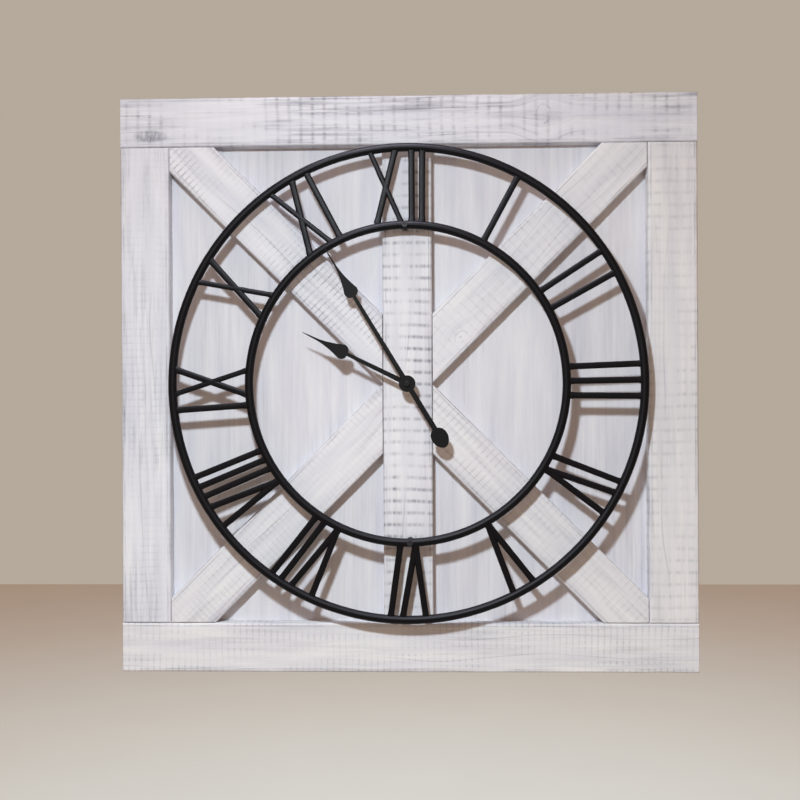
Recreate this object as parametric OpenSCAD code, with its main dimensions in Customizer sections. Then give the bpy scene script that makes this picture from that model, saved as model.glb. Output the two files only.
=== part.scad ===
// Square farmhouse wall clock: a frame of whitewashed boards, a skeleton dial of black iron,
// spade hands, and a battery movement let into the space behind the back panel.
// The front faces -Y, +Z is up and the wall is the plane y = 0. The origin is the centre of
// the keyhole that the clock hangs by. Everything round the dial is laid out from its axis.

/* [Board frame] */
// Side of the square frame
board_size = 736.6; // [640:0.1:900]
// Width of the rails, stiles, centre board and braces
lumber_w = 63.5; // [50:0.5:77]
// Thickness of the front boards
board_t = 19.05; // [12:0.05:25]
// Thickness of the back panel
panel_t = 6.35; // [4:0.05:12]
// Set-back of the back panel from the frame's edge
panel_inset = 1.5; // [0:0.5:5]
// Easing of the boards' front edges
edge_ease = 2.5; // [1:0.5:4]
// Width of the rear cleats
cleat_w = 38.1; // [32:0.1:50]
// Set-back of the rear cleats from the frame's edge
cleat_inset = 6; // [0:1:12]

/* [Screws] */
// Radius of a wood screw's shank
screw_r = 2; // [1.5:0.1:2.5]
// Radius of a wood screw's head
screw_head_r = 4; // [3.5:0.1:5]
// Height of a wood screw's head
screw_head_t = 2.4; // [1.8:0.1:3]
// Depth that a wood screw bites into a front board
screw_bite = 12; // [8:1:14]
// Clearance round a screw or a thread in its hole
thread_clear = 0.05; // [0.02:0.01:0.1]

/* [Hanger] */
// Distance of the keyhole below the frame's top edge
hang_below_top = 28.3; // [24:0.1:32]
// Radius of the keyhole's round entry
keyhole_r = 4.75; // [4:0.05:5.5]
// Width of the keyhole's slot
keyhole_slot_w = 5; // [4:0.1:6]
// Height of the keyhole's slot above the entry's centre
keyhole_slot_h = 11; // [9:0.5:13]
// Thickness of the hanger plate
hanger_t = 2; // [1.5:0.1:3]
// Width of the hanger plate
hanger_w = 46; // [40:1:60]
// Depth of the pocket behind the keyhole
hanger_pocket = 10; // [6:0.5:13]

/* [Dial] */
// Gap between the frame's opening and the dial
dial_gap = 1.9; // [0:0.1:20]
// Thickness of the ring bars
ring_bar = 11; // [8:0.5:13]
// Height of the numerals, from ring to ring
numeral_h = 86.4; // [70:0.1:105]
// Stand-off of the dial from the boards
dial_standoff = 13; // [10:0.5:16]
// Turn of the dial, clockwise, in degrees
dial_turn = -0.7; // [-2:0.1:2]
// Width of a numeral's stroke
stroke_w = 8; // [6:0.5:10]
// Width of the light stroke of an X
light_stroke_w = 6.6; // [5:0.2:8]
// Thickness of the numerals, front to back
numeral_t = 6.5; // [4:0.5:9]
// Radius of a dial screw's head
dial_head_r = 3.7; // [3:0.1:4.5]
// Depth that a dial screw bites into the centre board
dial_bite = 13; // [8:1:16]

/* [Hands] */
// Angle of the minute hand at rest, clockwise from upright
minute_angle = 328.9; // [0:0.1:360]
// Angle of the hour hand at rest, clockwise from upright
hour_angle = 296.4; // [0:0.1:360]
// Length of the minute hand's tip that passes over the inner ring
minute_overlap = 6.3; // [2:0.1:10]
// Distance of the hour hand's tip from the inner ring
hour_gap = 47.5; // [30:0.1:70]
// Length of the minute hand's spade, from base to tip
minute_spade_l = 73; // [55:1:85]
// Width of the minute hand's spade
minute_spade_w = 18; // [14:0.5:22]
// Length of the hour hand's spade, from base to tip
hour_spade_l = 63; // [50:1:70]
// Width of the hour hand's spade
hour_spade_w = 19.3; // [15:0.1:23]
// Distance of the tail weight's near end from the axis
tail_near = 66; // [50:1:75]
// Length of the tail weight
tail_l = 27; // [20:1:32]
// Width of the tail weight
tail_w = 21.5; // [16:0.5:26]
// Width of a hand's arm at the hub
arm_w = 6.6; // [5:0.2:8]
// Radius of a hand's eye
eye_r = 10.4; // [9:0.1:12]
// Thickness of the hands
hand_t = 1; // [0.8:0.1:1.4]
// Height of the hour hand above the boards
hour_hand_up = 20; // [17:0.5:22]
// Clearance between the dial's front and the minute hand
hand_clear = 2.5; // [2:0.5:5]

/* [Threaded bush] */
// Radius of the threaded bush
bush_r = 4; // [3.8:0.1:4.8]
// Clearance round the bush in the boards
bush_clear = 0.5; // [0.2:0.1:1]
// Height of the bush's end above the boards
bush_up = 14; // [8:0.5:16]
// Thickness of the washer
washer_t = 1; // [0.8:0.1:1.5]
// Thickness of the fixing nut
nut_t = 3; // [2.5:0.1:3.5]
// Width across flats of the fixing nut
nut_flats = 13; // [12:0.5:16]
// Radius of the hour pipe
pipe_r = 2.55; // [2.3:0.05:2.9]
// Radius of the minute spindle
spindle_r = 1.5; // [1.2:0.05:1.8]
// Running clearance between a shaft and its hole
run_clear = 0.05; // [0.02:0.01:0.08]

/* [Movement case] */
// Diameter of the battery
battery_d = 14.5; // [13.5:0.1:17]
// Length of the battery, with its terminal
battery_l = 50.5; // [48:0.1:60]
// Clearance round the battery
battery_clear = 0.3; // [0.2:0.05:0.6]
// Room for the contacts at each end of the battery
contact_room = 1.55; // [1.4:0.05:3]
// Wall of the movement case
case_wall = 1.2; // [1:0.1:1.6]
// Thickness of the rubber gasket
gasket_t = 0.8; // [0.5:0.1:1.5]
// Clearance between the movement and the wall
wall_clear = 2.25; // [1.5:0.05:4]
// Height of the coil's centre above the dial axis
coil_up = 22.3; // [22:0.1:24]
// Radius of the coil's flanges
coil_r = 4; // [3.4:0.1:4.2]
// Radius of the setting knob
knob_r = 5.5; // [4.5:0.1:6]

/* [Wheels] */
// Module of the centre wheel and the third pinion
centre_module = 0.34; // [0.3:0.01:0.37]
// Module of the motion wheel and the cannon pinion
motion_module = 0.4; // [0.34:0.01:0.42]
// Module of the second wheel and the intermediate pinion
second_module = 0.5; // [0.44:0.01:0.52]
// Module of the intermediate wheel and the rotor pinion
rotor_module = 0.28; // [0.25:0.01:0.29]
// Thickness of a wheel
wheel_t = 0.8; // [0.6:0.1:1]
// Radius of an arbor
arbor_r = 0.8; // [0.7:0.05:1]
// Radius of an arbor's pivot
pivot_r = 0.5; // [0.4:0.05:0.6]

/* [Hidden] */
$fn = 64;
round_fn = 200;
sliver = 0.01;

// --- frame and layers, front to back ---
half = board_size / 2;
half_open = half - lumber_w;
cut_w = lumber_w * sqrt(2);
case_d = case_wall + battery_d + battery_clear;
cleat_t = gasket_t + case_d + wall_clear;
panel_back = -cleat_t;
panel_front = panel_back - panel_t;
board_front = panel_front - board_t;
dial_z = hang_below_top - half;
cleat_mid = half - cleat_inset - cleat_w / 2;
cleat_screw_l = cleat_t + panel_t + screw_bite;
panel_screw_l = panel_t + screw_bite;

// Each point is [x, z] from the dial axis
cleat_screws = concat(
    [for (x = [-0.85, -0.35, 0.35, 0.85]) for (z = [-1, 1]) [x * half, z * cleat_mid]],
    [for (x = [-1, 1]) for (z = [-0.5, 0.5]) [x * cleat_mid, z * half_open]]);
brace_screws = [for (along = [55, 290]) for (x = [-1, 1]) for (z = [-1, 1])
    [x * (lumber_w / 2 + along * cos(45)), z * (cut_w / 2 + along * sin(45))]];
centre_screws = [for (z = [-0.8, -0.3, 0.3, 0.8]) [0, z * half_open]];
panel_screws = concat(brace_screws, centre_screws);

// --- hanger ---
hanger_margin = 6;
hanger_screw_x = hanger_w / 2 - 7;
hanger_screw_z = 3;
hanger_head_r = 3.2;
hanger_screw_l = 12;

// --- dial ---
dial_r = half_open - dial_gap;
outer_ring_in = dial_r - ring_bar;
inner_ring_out = outer_ring_in - numeral_h;
inner_ring_in = inner_ring_out - ring_bar;
inner_ring_mid = inner_ring_out - ring_bar / 2;
ring_mid_up = dial_standoff + ring_bar / 2;
dial_up = dial_standoff + ring_bar;
dial_head_t = 2.6;
dial_head_sink = 1.6;
spacer_r = 5;
dial_screw_angles = [0, 180];
slot_w = 0.9;
slot_deep = 1.1;

// Distances between the middles of neighbouring letters, in mm, at the top and the foot
v_to_bar = [30, 19];
x_to_bar = [36.5, 28.5];
bar_to_bar = [13.7, 12.7];
three_bars = [20.3, 18];
two_bars = [32, 25.3];
// Half the spread of a letter's two legs, at the top and the foot
v_legs = [14.7, 0];
x_legs = [16, 15.2];
// Letters of each hour, from one o'clock, and the angle by which each sits off its mark
hour_letters = ["I", "II", "III", "IV", "V", "VI", "VII", "VIII", "IX", "X", "XI", "XII"];
hour_nudge = [-0.9, -0.3, 0, 0, 1.2, 0.7, 0.9, 0.2, -0.5, 0, 0.2, -1.8];

// --- hands ---
minute_hand_up = dial_up + hand_clear;
minute_l = inner_ring_in + minute_overlap;
hour_l = inner_ring_in - hour_gap;
needle_w = 2.4;
spade_round = 8;
spade_flank = 38;
pipe_seat_r = pipe_r - 0.15;
pipe_bore_r = spindle_r + run_clear;
pipe_up = hour_hand_up + hand_t + 1.2;
tip_thread_r = spindle_r - 0.25;
cap_nut_r = 4;
cap_nut_t = 3.6;

// --- movement, depths measured back from the inside of the case's front ---
case_front = panel_back + gasket_t;
case_inside = case_front + case_wall;
inside_d = case_d - case_wall;
half_in_w = battery_l / 2 + contact_room;
half_out_w = half_in_w + case_wall;
cover_t = 1.2;
cover_deep = inside_d - cover_t;
bay_wall_t = 1;
tooth_tip = 0.9;
tooth_root = 1.15;
centre_tip_r = centre_module * (32 + tooth_tip);
bay_top = -(centre_tip_r + 1 + bay_wall_t);
battery_z = bay_top - battery_clear - battery_d / 2;
case_floor = battery_z - battery_d / 2 - battery_clear;
case_ceiling = coil_up + coil_r + 1;
plate_deep = 4.9;
plate_t = 0.8;

// Teeth of each wheel and pinion
cannon_teeth = 12;
motion_teeth = 36;
motion_pinion_teeth = 12;
hour_teeth = 48;
knob_teeth = 12;
centre_teeth = 64;
third_pinion_teeth = 8;
third_teeth = 60;
second_pinion_teeth = 8;
second_teeth = 32;
inter_pinion_teeth = 8;
inter_teeth = 60;
rotor_teeth = 8;

// Modules that follow from two wheels sharing the same pair of axes
hour_module = motion_module * (cannon_teeth + motion_teeth) / (motion_pinion_teeth + hour_teeth);
third_module = centre_module * (centre_teeth + third_pinion_teeth) / (third_teeth + second_pinion_teeth);

// Depths at which the wheels' discs start, behind the inside of the case's front
hour_deep = 0.4;
motion_deep = 1.9;
centre_deep = 3.6;
third_deep = 6;
second_deep = 7.3;
inter_deep = 8.6;
motion_wheel_t = 1;

// Depths between which the pinions, the magnet and the clutch spring lie, as [from, to]
cannon_span = [1.7, 3.1];
motion_span = [0.3, 2];
third_span = [3.3, 4.7];
second_span = [5.9, 7.4];
inter_span = [7.1, 8.7];
rotor_span = [8, 9.6];
magnet_span = [5.95, 8.1];
spring_span = [3.1, 3.55];
clutch_r = 1;
spring_r = 2.4;
window_mid = 6.4;
window_r = 2.2;
shoulder_end = 10;
pivot_end = 11.4;

// Directions from one axis to the next, anticlockwise from +X, and the axes, as [x, z]
third_dir = 175;
motion_dir = -5;
knob_dir = 0;
inter_dir = 60;
rotor_dir = 32;
main_axis = [0, 0];
third_axis = step(main_axis, third_dir, centre_module * (centre_teeth + third_pinion_teeth) / 2);
motion_axis = step(main_axis, motion_dir, motion_module * (cannon_teeth + motion_teeth) / 2);
knob_axis = step(motion_axis, knob_dir, motion_module * (motion_teeth + knob_teeth) / 2);
inter_axis = step(main_axis, inter_dir, second_module * (second_teeth + inter_pinion_teeth) / 2);
rotor_axis = step(inter_axis, rotor_dir, rotor_module * (inter_teeth + rotor_teeth) / 2);

// Angle of one tooth of each wheel, chosen so that the teeth are in mesh
motion_phase = mesh(0, cannon_teeth, motion_teeth, motion_dir);
knob_phase = mesh(motion_phase, motion_teeth, knob_teeth, knob_dir);
hour_phase = mesh(0, motion_pinion_teeth, hour_teeth, motion_dir + 180);
third_pinion_phase = mesh(0, centre_teeth, third_pinion_teeth, third_dir);
second_pinion_phase = mesh(0, third_teeth, second_pinion_teeth, third_dir + 180);
inter_pinion_phase = mesh(0, second_teeth, inter_pinion_teeth, inter_dir);
rotor_phase = mesh(0, inter_teeth, rotor_teeth, rotor_dir);

// Pillars that clamp the middle plate, as [x, z]
pillar_x = half_in_w - 2.3;
pillar_low = -9.5;
pillar_high = 11;
pillars = [[-pillar_x, pillar_low], [-pillar_x, pillar_high], [pillar_x, pillar_low],
    [pillar_x, pillar_high - 0.5]];
pillar_r = 1.5;
boss_r = 1.6;
boss_deep = 10.2;
well_r = knob_r + 0.5;
well_wall = 1;
well_floor_t = 1;
knob_deep = boss_deep + well_floor_t + 0.4;
knob_t = inside_d - knob_deep - 0.2;
knurl_deep = 0.35;

// Stator and coil
stator_deep = plate_deep + plate_t + 0.8;
stator_t = 1;
stator_bar = 4;
stator_left = -13;
stator_right = 22;
stator_foot = 13.4;
rotor_hole_r = 3.4;
magnet_r = 2.9;
coil_left = -8;
coil_right = 16;
coil_flange_t = 0.8;
coil_tube_r = 2.7;
winding_r = coil_r - 0.4;
board_deep = 3.6;
board_left = -half_in_w + 0.1;
board_right = -14.8;
board_foot = 13.4;
circuit_t = 0.8;
strip_t = 0.3;
strip_w = 3;
strip_deep = 8;

// ---------- functions ----------

// The point a distance away from another, in a direction
function step(from, dir, dist) = from + dist * [cos(dir), sin(dir)];

// Angle of a tooth of wheel b that meshes with wheel a, which lies the other way along dir
function mesh(phase_a, teeth_a, teeth_b, dir) =
    let (turns = (dir - phase_a) * teeth_a / 360)
    dir + 180 + (turns - floor(turns) + 0.5) * 360 / teeth_b;

// Outline of a toothed wheel: four points a tooth, with shares of the pitch as half-widths
function gear_points(teeth, module_mm, phase, root_share, tip_share) =
    let (root_r = module_mm * (teeth / 2 - tooth_root), tip_r = module_mm * (teeth / 2 + tooth_tip))
    [for (i = [0:teeth - 1]) for (p = [[-root_share, root_r], [-tip_share, tip_r],
                                       [tip_share, tip_r], [root_share, root_r]])
        step([0, 0], phase + (i + p[0]) * 360 / teeth, p[1])];

// A right-hand outline with its mirror image, as one closed outline
function both_sides(right) =
    concat(right, [for (i = [len(right) - 1:-1:0]) [-right[i][0], right[i][1]]]);

// Right-hand outline of a spade hand: arm, rounded shoulder, hollow flank, needle point
function spade_side(tip, spade_l, spade_w) =
    let (base = tip - spade_l, wide = base + spade_round, needle = wide + spade_flank,
         arm = arm_w * 0.36, broad = spade_w / 2, thin = needle_w / 2)
    concat(
        [[arm_w / 2, 0], [arm, base]],
        [for (a = [15:15:90]) [arm + (broad - arm) * sin(a), wide - spade_round * cos(a)]],
        [for (i = [1:8]) [thin + (broad - thin) * pow(1 - i / 8, 1.7), wide + (needle - wide) * i / 8]],
        [[0.4, tip]]);

// Right-hand outline of the egg-shaped tail weight, fuller towards the hub
function egg_side() =
    [for (a = [10:20:170]) [tail_w / 2 * sin(a) * (1 + 0.12 * cos(a)),
                            -tail_near - tail_l / 2 + tail_l / 2 * cos(a)]];

// Letters of a numeral, as [letter, middle at the top, middle at the foot]
function next_gap(word, i) =
    word == "II" ? two_bars :
    word == "III" ? three_bars :
    word[i] == "V" || word[i + 1] == "V" ? v_to_bar :
    word[i] == "X" || word[i + 1] == "X" ? x_to_bar : bar_to_bar;
function letter_mid(word, i) = i == 0 ? [0, 0] : letter_mid(word, i - 1) + next_gap(word, i - 1);
function letter_reach(letter) = letter == "V" ? v_legs : letter == "X" ? x_legs : [0, 0];
function word_mid(word) =
    let (last = len(word) - 1)
    (letter_mid(word, last) + letter_reach(word[last]) - letter_reach(word[0])) / 2;

// ---------- helpers ----------

// Puts a piece that is drawn round the dial axis in its place below the keyhole
module on_dial() translate([0, 0, dial_z]) children();

// A plate drawn as seen from the front, with its back face at y_back, growing forwards
module plate(y_back, t) translate([0, y_back, 0]) rotate([90, 0, 0]) linear_extrude(t) children();

// A round bar along the line of sight at [x, z], with its back end at y_back
module bar(at, y_back, l, r) translate([at[0], y_back, at[1]]) rotate([90, 0, 0]) cylinder(h = l, r = r);

// The same bar and plate, placed by depths behind the inside of the case's front
module arbor(at, from, to, r) bar(at, case_inside + to, to - from, r);
module layer(from, to) plate(case_inside + to, to - from) children();

// A front board from its outline, with eased front edges
module eased_board() translate([0, panel_front, 0]) rotate([90, 0, 0]) hull() {
    linear_extrude(board_t - edge_ease) children();
    linear_extrude(board_t) offset(delta = -edge_ease) children();
}

// Holes for the screws that come through the cleats and the panel from behind
module screw_holes() {
    for (p = cleat_screws) bar(p, sliver, cleat_screw_l + 2 * sliver, screw_r + thread_clear);
    for (p = panel_screws) bar(p, panel_back + sliver, panel_screw_l + 2 * sliver, screw_r + thread_clear);
}

// A wood screw with its head's outer face at y_head, driven forwards
module wood_screw(at, y_head, l) difference() {
    union() {
        bar(at, y_head, screw_head_t, screw_head_r);
        bar(at, y_head - screw_head_t / 2, l - screw_head_t / 2, screw_r);
    }
    for (turn = [0, 90]) translate([at[0], y_head, at[1]]) rotate([0, turn, 0])
        cube([1.1 * screw_head_r, screw_head_t, screw_r / 2], center = true);
}

module wheel(teeth, module_mm, phase, from, t) layer(from, from + t)
    polygon(gear_points(teeth, module_mm, phase, 0.27, 0.1));
module pinion(teeth, module_mm, phase, span) layer(span[0], span[1])
    polygon(gear_points(teeth, module_mm, phase, 0.2, 0.1));

// ---------- board frame ----------

module rail(up) on_dial() color("#d9d7dc") difference() {
    eased_board() translate([-half, up > 0 ? half_open : -half]) square([board_size, lumber_w]);
    screw_holes();
}

module stile(side) on_dial() color("#d9d7dc") difference() {
    eased_board() translate([side > 0 ? half_open : -half, -half_open]) square([lumber_w, 2 * half_open]);
    screw_holes();
}

module centre_board() on_dial() color("#dcdade") difference() {
    eased_board() translate([-lumber_w / 2, -half_open]) square([lumber_w, 2 * half_open]);
    screw_holes();
    bar(main_axis, panel_front + sliver, board_t + 2 * sliver, bush_r + bush_clear);
    for (a = dial_screw_angles) bar(dial_point(a), board_front + dial_bite + 1, dial_bite + 1 + sliver,
                                    screw_r + thread_clear);
}

module brace(side, up) on_dial() color("#d3d3da") difference() {
    mirror([side < 0 ? 0 : 1, 0, 0]) mirror([0, 0, up > 0 ? 0 : 1]) eased_board() polygon([
        [-lumber_w / 2, 0], [-lumber_w / 2, cut_w],
        [-lumber_w / 2 - half_open + cut_w, half_open], [-half_open, half_open],
        [-half_open, half_open - lumber_w / 2]]);
    screw_holes();
}

module back_panel() on_dial() color("#ced2da") difference() {
    plate(panel_back, panel_t) square(board_size - 2 * panel_inset, center = true);
    screw_holes();
    bar(main_axis, panel_back + sliver, panel_t + 2 * sliver, bush_r + bush_clear);
}

module cleat(size, at) difference() {
    plate(0, cleat_t) translate(at) square(size, center = true);
    screw_holes();
    for (p = cleat_screws) bar(p, sliver, screw_head_t + sliver, screw_head_r + thread_clear);
}

module cleat_top() color("#b9a17c") difference() {
    on_dial() cleat([2 * (half - cleat_inset), cleat_w], [0, cleat_mid]);
    plate(sliver, hanger_t + sliver) hanger_outline();
    plate(sliver, hanger_pocket + sliver) translate([-7, -keyhole_r - 2])
        square([14, keyhole_r + keyhole_slot_h + 6]);
    for (x = [-1, 1]) bar([x * hanger_screw_x, hanger_screw_z], -hanger_t + sliver, hanger_screw_l, screw_r - 0.3);
}

module cleat_bottom() on_dial() color("#b9a17c")
    cleat([2 * (half - cleat_inset), cleat_w], [0, -cleat_mid]);

module cleat_side(side) on_dial() color("#b9a17c")
    cleat([cleat_w, 2 * (half - cleat_inset - cleat_w)], [side * cleat_mid, 0]);

module frame_screws() on_dial() color("#8f9094") {
    for (p = cleat_screws) wood_screw(p, 0, cleat_screw_l);
    for (p = panel_screws) wood_screw(p, panel_back + screw_head_t, panel_screw_l + screw_head_t);
}

// ---------- hanger ----------

module hanger_outline() translate([-hanger_w / 2, -keyhole_r - hanger_margin])
    square([hanger_w, keyhole_r + keyhole_slot_h + 2 * hanger_margin]);

module hanger_plate() color("#a3a4a8") difference() {
    plate(0, hanger_t) hanger_outline();
    bar([0, 0], sliver, hanger_t + 2 * sliver, keyhole_r);
    plate(sliver, hanger_t + 2 * sliver) translate([-keyhole_slot_w / 2, 0])
        square([keyhole_slot_w, keyhole_slot_h]);
    for (x = [-1, 1]) {
        bar([x * hanger_screw_x, hanger_screw_z], sliver, hanger_t / 2 + sliver, hanger_head_r + 0.1);
        bar([x * hanger_screw_x, hanger_screw_z], sliver, hanger_t + 2 * sliver, screw_r);
    }
}

module hanger_screws() color("#8f9094") for (x = [-1, 1]) {
    bar([x * hanger_screw_x, hanger_screw_z], 0, hanger_t / 2, hanger_head_r);
    bar([x * hanger_screw_x, hanger_screw_z], -hanger_t / 4, hanger_screw_l + hanger_t / 4, screw_r - 0.35);
}

// ---------- dial ----------

// A place on the inner ring's middle line, clockwise from the dial's top
function dial_point(a) = step([0, 0], 90 - a - dial_turn, inner_ring_mid);

// A ring of sixteen-sided bar, with flats towards the axis, the boards and the front
module ring(out_r) translate([0, board_front - ring_mid_up, 0]) rotate([90, 0, 0])
    rotate_extrude($fn = round_fn) polygon([for (i = [0:15])
        step([out_r - ring_bar / 2, 0], (i + 0.5) * 22.5, ring_bar / 2 / cos(11.25))]);

module outer_ring() on_dial() color("#26272b") ring(dial_r);

module inner_ring() on_dial() color("#26272b") difference() {
    ring(inner_ring_out);
    for (a = dial_screw_angles) {
        bar(dial_point(a), board_front - dial_standoff + 1, ring_bar + 2, screw_r + thread_clear);
        bar(dial_point(a), board_front - dial_up + dial_head_sink, ring_bar, dial_head_r + thread_clear);
    }
}

// One stroke from the outer ring to the inner ring, with its middle at the top and the foot
module stroke(top, foot, w) polygon([
    [top - w / 2, outer_ring_in + w], [top + w / 2, outer_ring_in + w],
    [foot + w / 2, inner_ring_out - w], [foot - w / 2, inner_ring_out - w]]);

module letter(kind, top, foot) {
    if (kind == "I") stroke(top, foot, stroke_w);
    if (kind == "V") for (leg = [-1, 1])
        stroke(top + leg * v_legs[0], foot + leg * v_legs[1], stroke_w);
    if (kind == "X") {
        stroke(top - x_legs[0], foot + x_legs[1], light_stroke_w);
        stroke(top + x_legs[0], foot - x_legs[1], stroke_w);
    }
}

module numeral(hour) {
    word = hour_letters[hour - 1];
    turn = hour * 30 + dial_turn + hour_nudge[hour - 1];
    on_dial() color("#2b2c30") intersection() {
        plate(board_front - ring_mid_up + numeral_t / 2, numeral_t) rotate(-turn)
            for (i = [0:len(word) - 1]) let (mid = letter_mid(word, i) - word_mid(word))
                letter(word[i], mid[0], mid[1]);
        plate(board_front - ring_mid_up + numeral_t, 2 * numeral_t) difference() {
            circle(outer_ring_in, $fn = round_fn);
            circle(inner_ring_out, $fn = round_fn);
        }
    }
}

module dial_spacers() on_dial() color("#2b2c30") for (a = dial_screw_angles) difference() {
    bar(dial_point(a), board_front, dial_standoff, spacer_r);
    bar(dial_point(a), board_front + 1, dial_standoff + 2, screw_r + thread_clear);
}

module dial_screws() on_dial() color("#3a3b3f") for (a = dial_screw_angles) difference() {
    union() {
        bar(dial_point(a), board_front - dial_up + dial_head_sink, dial_head_t, dial_head_r);
        bar(dial_point(a), board_front + dial_bite, dial_bite + dial_up, screw_r);
    }
    for (turn = [0, 90]) translate([dial_point(a)[0], board_front - dial_up - 1, dial_point(a)[1]])
        rotate([0, turn, 0]) cube([4.2, 2 * slot_deep, slot_w], center = true);
}

// ---------- hands ----------

module hand(up, angle, hole_r) difference() {
    plate(board_front - up, hand_t) rotate(-angle) children();
    bar(main_axis, board_front - up + 1, hand_t + 2, hole_r);
}

module hour_hand() on_dial() color("#1e1f22") hand(hour_hand_up, hour_angle, pipe_seat_r) {
    polygon(both_sides(spade_side(hour_l, hour_spade_l, hour_spade_w)));
    circle(eye_r);
}

module minute_hand() on_dial() color("#1e1f22") hand(minute_hand_up, minute_angle, tip_thread_r) {
    polygon(both_sides(spade_side(minute_l, minute_spade_l, minute_spade_w)));
    circle(eye_r);
    translate([-arm_w / 2, -tail_near - 2]) square([arm_w, tail_near + 2]);
    polygon(both_sides(egg_side()));
}

module cap_nut() on_dial() color("#2a2b2e") translate([0, board_front - minute_hand_up - hand_t, 0])
    rotate([90, 0, 0]) difference() {
        union() {
            cylinder(h = cap_nut_t / 3, r = cap_nut_r);
            translate([0, 0, cap_nut_t / 3]) intersection() {
                sphere(r = cap_nut_r - 0.4);
                cylinder(h = cap_nut_t * 2 / 3, r = cap_nut_r);
            }
        }
        translate([0, 0, -1]) cylinder(h = 3, r = tip_thread_r + thread_clear);
    }

// ---------- bush, nut and gasket ----------

module fixing_nut() on_dial() color("#c9a35a") difference() {
    plate(board_front - washer_t, nut_t) circle(r = nut_flats / 2 / cos(30), $fn = 6);
    bar(main_axis, board_front, washer_t + nut_t + 1, bush_r + thread_clear);
}

module washer() on_dial() color("#c9a35a") difference() {
    bar(main_axis, board_front, washer_t, nut_flats / 2 + 1.5);
    bar(main_axis, board_front + 1, washer_t + 2, bush_r + thread_clear);
}

module gasket() on_dial() color("#222222") difference() {
    plate(case_front, gasket_t) square(30, center = true);
    bar(main_axis, case_front + 1, gasket_t + 2, bush_r + thread_clear);
}

module threaded_bush() on_dial() color("#c9a35a") difference() {
    bar(main_axis, case_inside, case_inside - board_front + bush_up, bush_r);
    bar(main_axis, case_inside + 1, case_inside - board_front + bush_up + 2, pipe_r + run_clear);
}

// ---------- movement case ----------

module case_outline(grow, low) translate([-half_in_w - grow, low - grow])
    square([2 * (half_in_w + grow), case_ceiling - low + 2 * grow]);

module movement_case() on_dial() color("#26282c") difference() {
    union() {
        difference() {
            plate(case_front + case_d, case_d) case_outline(case_wall, case_floor);
            plate(case_front + case_d + 1, inside_d + 1) case_outline(0, case_floor);
            plate(case_front + case_d + 1, cover_t + 1) case_outline(case_wall + 1, bay_top + bay_wall_t);
        }
        layer(0, cover_deep) translate([-half_in_w, bay_top]) square([2 * half_in_w, bay_wall_t]);
        for (p = pillars) arbor(p, -sliver, plate_deep, pillar_r);
        arbor(third_axis, -sliver, 3, boss_r + 0.2);
        arbor(knob_axis, -sliver, 1.4, boss_r + 0.2);
        arbor(motion_axis, -sliver, 3.3, arbor_r);
        for (x = [board_left + 2.5, board_right - 1.5]) arbor([x, board_foot + 11.5], -sliver, board_deep, 1);
    }
    arbor(main_axis, -2 * case_wall, 1, bush_r);
    arbor(third_axis, 0.4, 4, pivot_r + run_clear);
    arbor(knob_axis, 0.2, 2, arbor_r + run_clear);
    for (x = [-half_in_w - sliver, half_in_w - 3 * strip_t])
        layer(strip_deep - 0.2, strip_deep + strip_w + 0.2) translate([x, bay_top - 1])
            square([3 * strip_t, bay_wall_t + 2]);
}

module middle_plate() on_dial() color("#e8e8e2") difference() {
    union() {
        layer(plate_deep, plate_deep + plate_t) translate([-half_in_w + 0.4, bay_top + bay_wall_t + 0.3])
            square([2 * half_in_w - 0.8, 17 - bay_top - bay_wall_t - 0.3]);
        for (x = [stator_left + 2, stator_right - 2])
            arbor([x, stator_foot + 2], plate_deep, stator_deep, 1.3);
    }
    arbor(main_axis, plate_deep - 1, plate_deep + 2, pivot_r + 0.1 + run_clear);
    arbor(third_axis, plate_deep - 1, plate_deep + 2, 1.3);
    arbor(inter_axis, plate_deep - 1, plate_deep + 2, pivot_r + run_clear);
    arbor(rotor_axis, plate_deep - 1, plate_deep + 2, pivot_r + run_clear);
    arbor(knob_axis, plate_deep - 1, plate_deep + 2, arbor_r + 0.8);
    layer(plate_deep - 1, plate_deep + 2) translate([-half_in_w - 1, board_foot - 0.5]) square([13.5, 5]);
}

module rear_cover() on_dial() color("#2c2e33") difference() {
    union() {
        layer(cover_deep, inside_d) case_outline(case_wall, bay_top + bay_wall_t + case_wall);
        for (p = pillars) arbor(p, plate_deep + plate_t, cover_deep + sliver, pillar_r);
        for (p = [main_axis, third_axis, inter_axis, rotor_axis])
            arbor(p, boss_deep, cover_deep + sliver, boss_r);
        arbor(knob_axis, boss_deep, cover_deep + sliver, well_r + well_wall);
    }
    for (p = [main_axis, third_axis, inter_axis, rotor_axis])
        arbor(p, boss_deep - 1, boss_deep + 2, pivot_r + run_clear);
    arbor(knob_axis, boss_deep - 1, inside_d + 1, arbor_r + run_clear);
    arbor(knob_axis, boss_deep + well_floor_t, inside_d + 1, well_r);
}

// ---------- motion work, which turns the hands ----------

module minute_arbor() on_dial() color("#d0a85c") {
    pinion(cannon_teeth, motion_module, 0, cannon_span);
    bar(main_axis, case_inside + cannon_span[0] + 0.4,
        case_inside + cannon_span[0] + 0.4 - board_front + minute_hand_up, spindle_r);
    bar(main_axis, board_front - minute_hand_up, hand_t + 1.6, tip_thread_r);
    arbor(main_axis, cannon_span[1] - 0.1, 4.6, clutch_r);
    arbor(main_axis, 4.5, plate_deep + 0.35, pivot_r + 0.1);
}

module clutch_spring() on_dial() color("#c2c4c8") difference() {
    arbor(main_axis, spring_span[0], spring_span[1], spring_r);
    arbor(main_axis, spring_span[0] - 0.1, spring_span[1] + 0.1, clutch_r);
}

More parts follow.
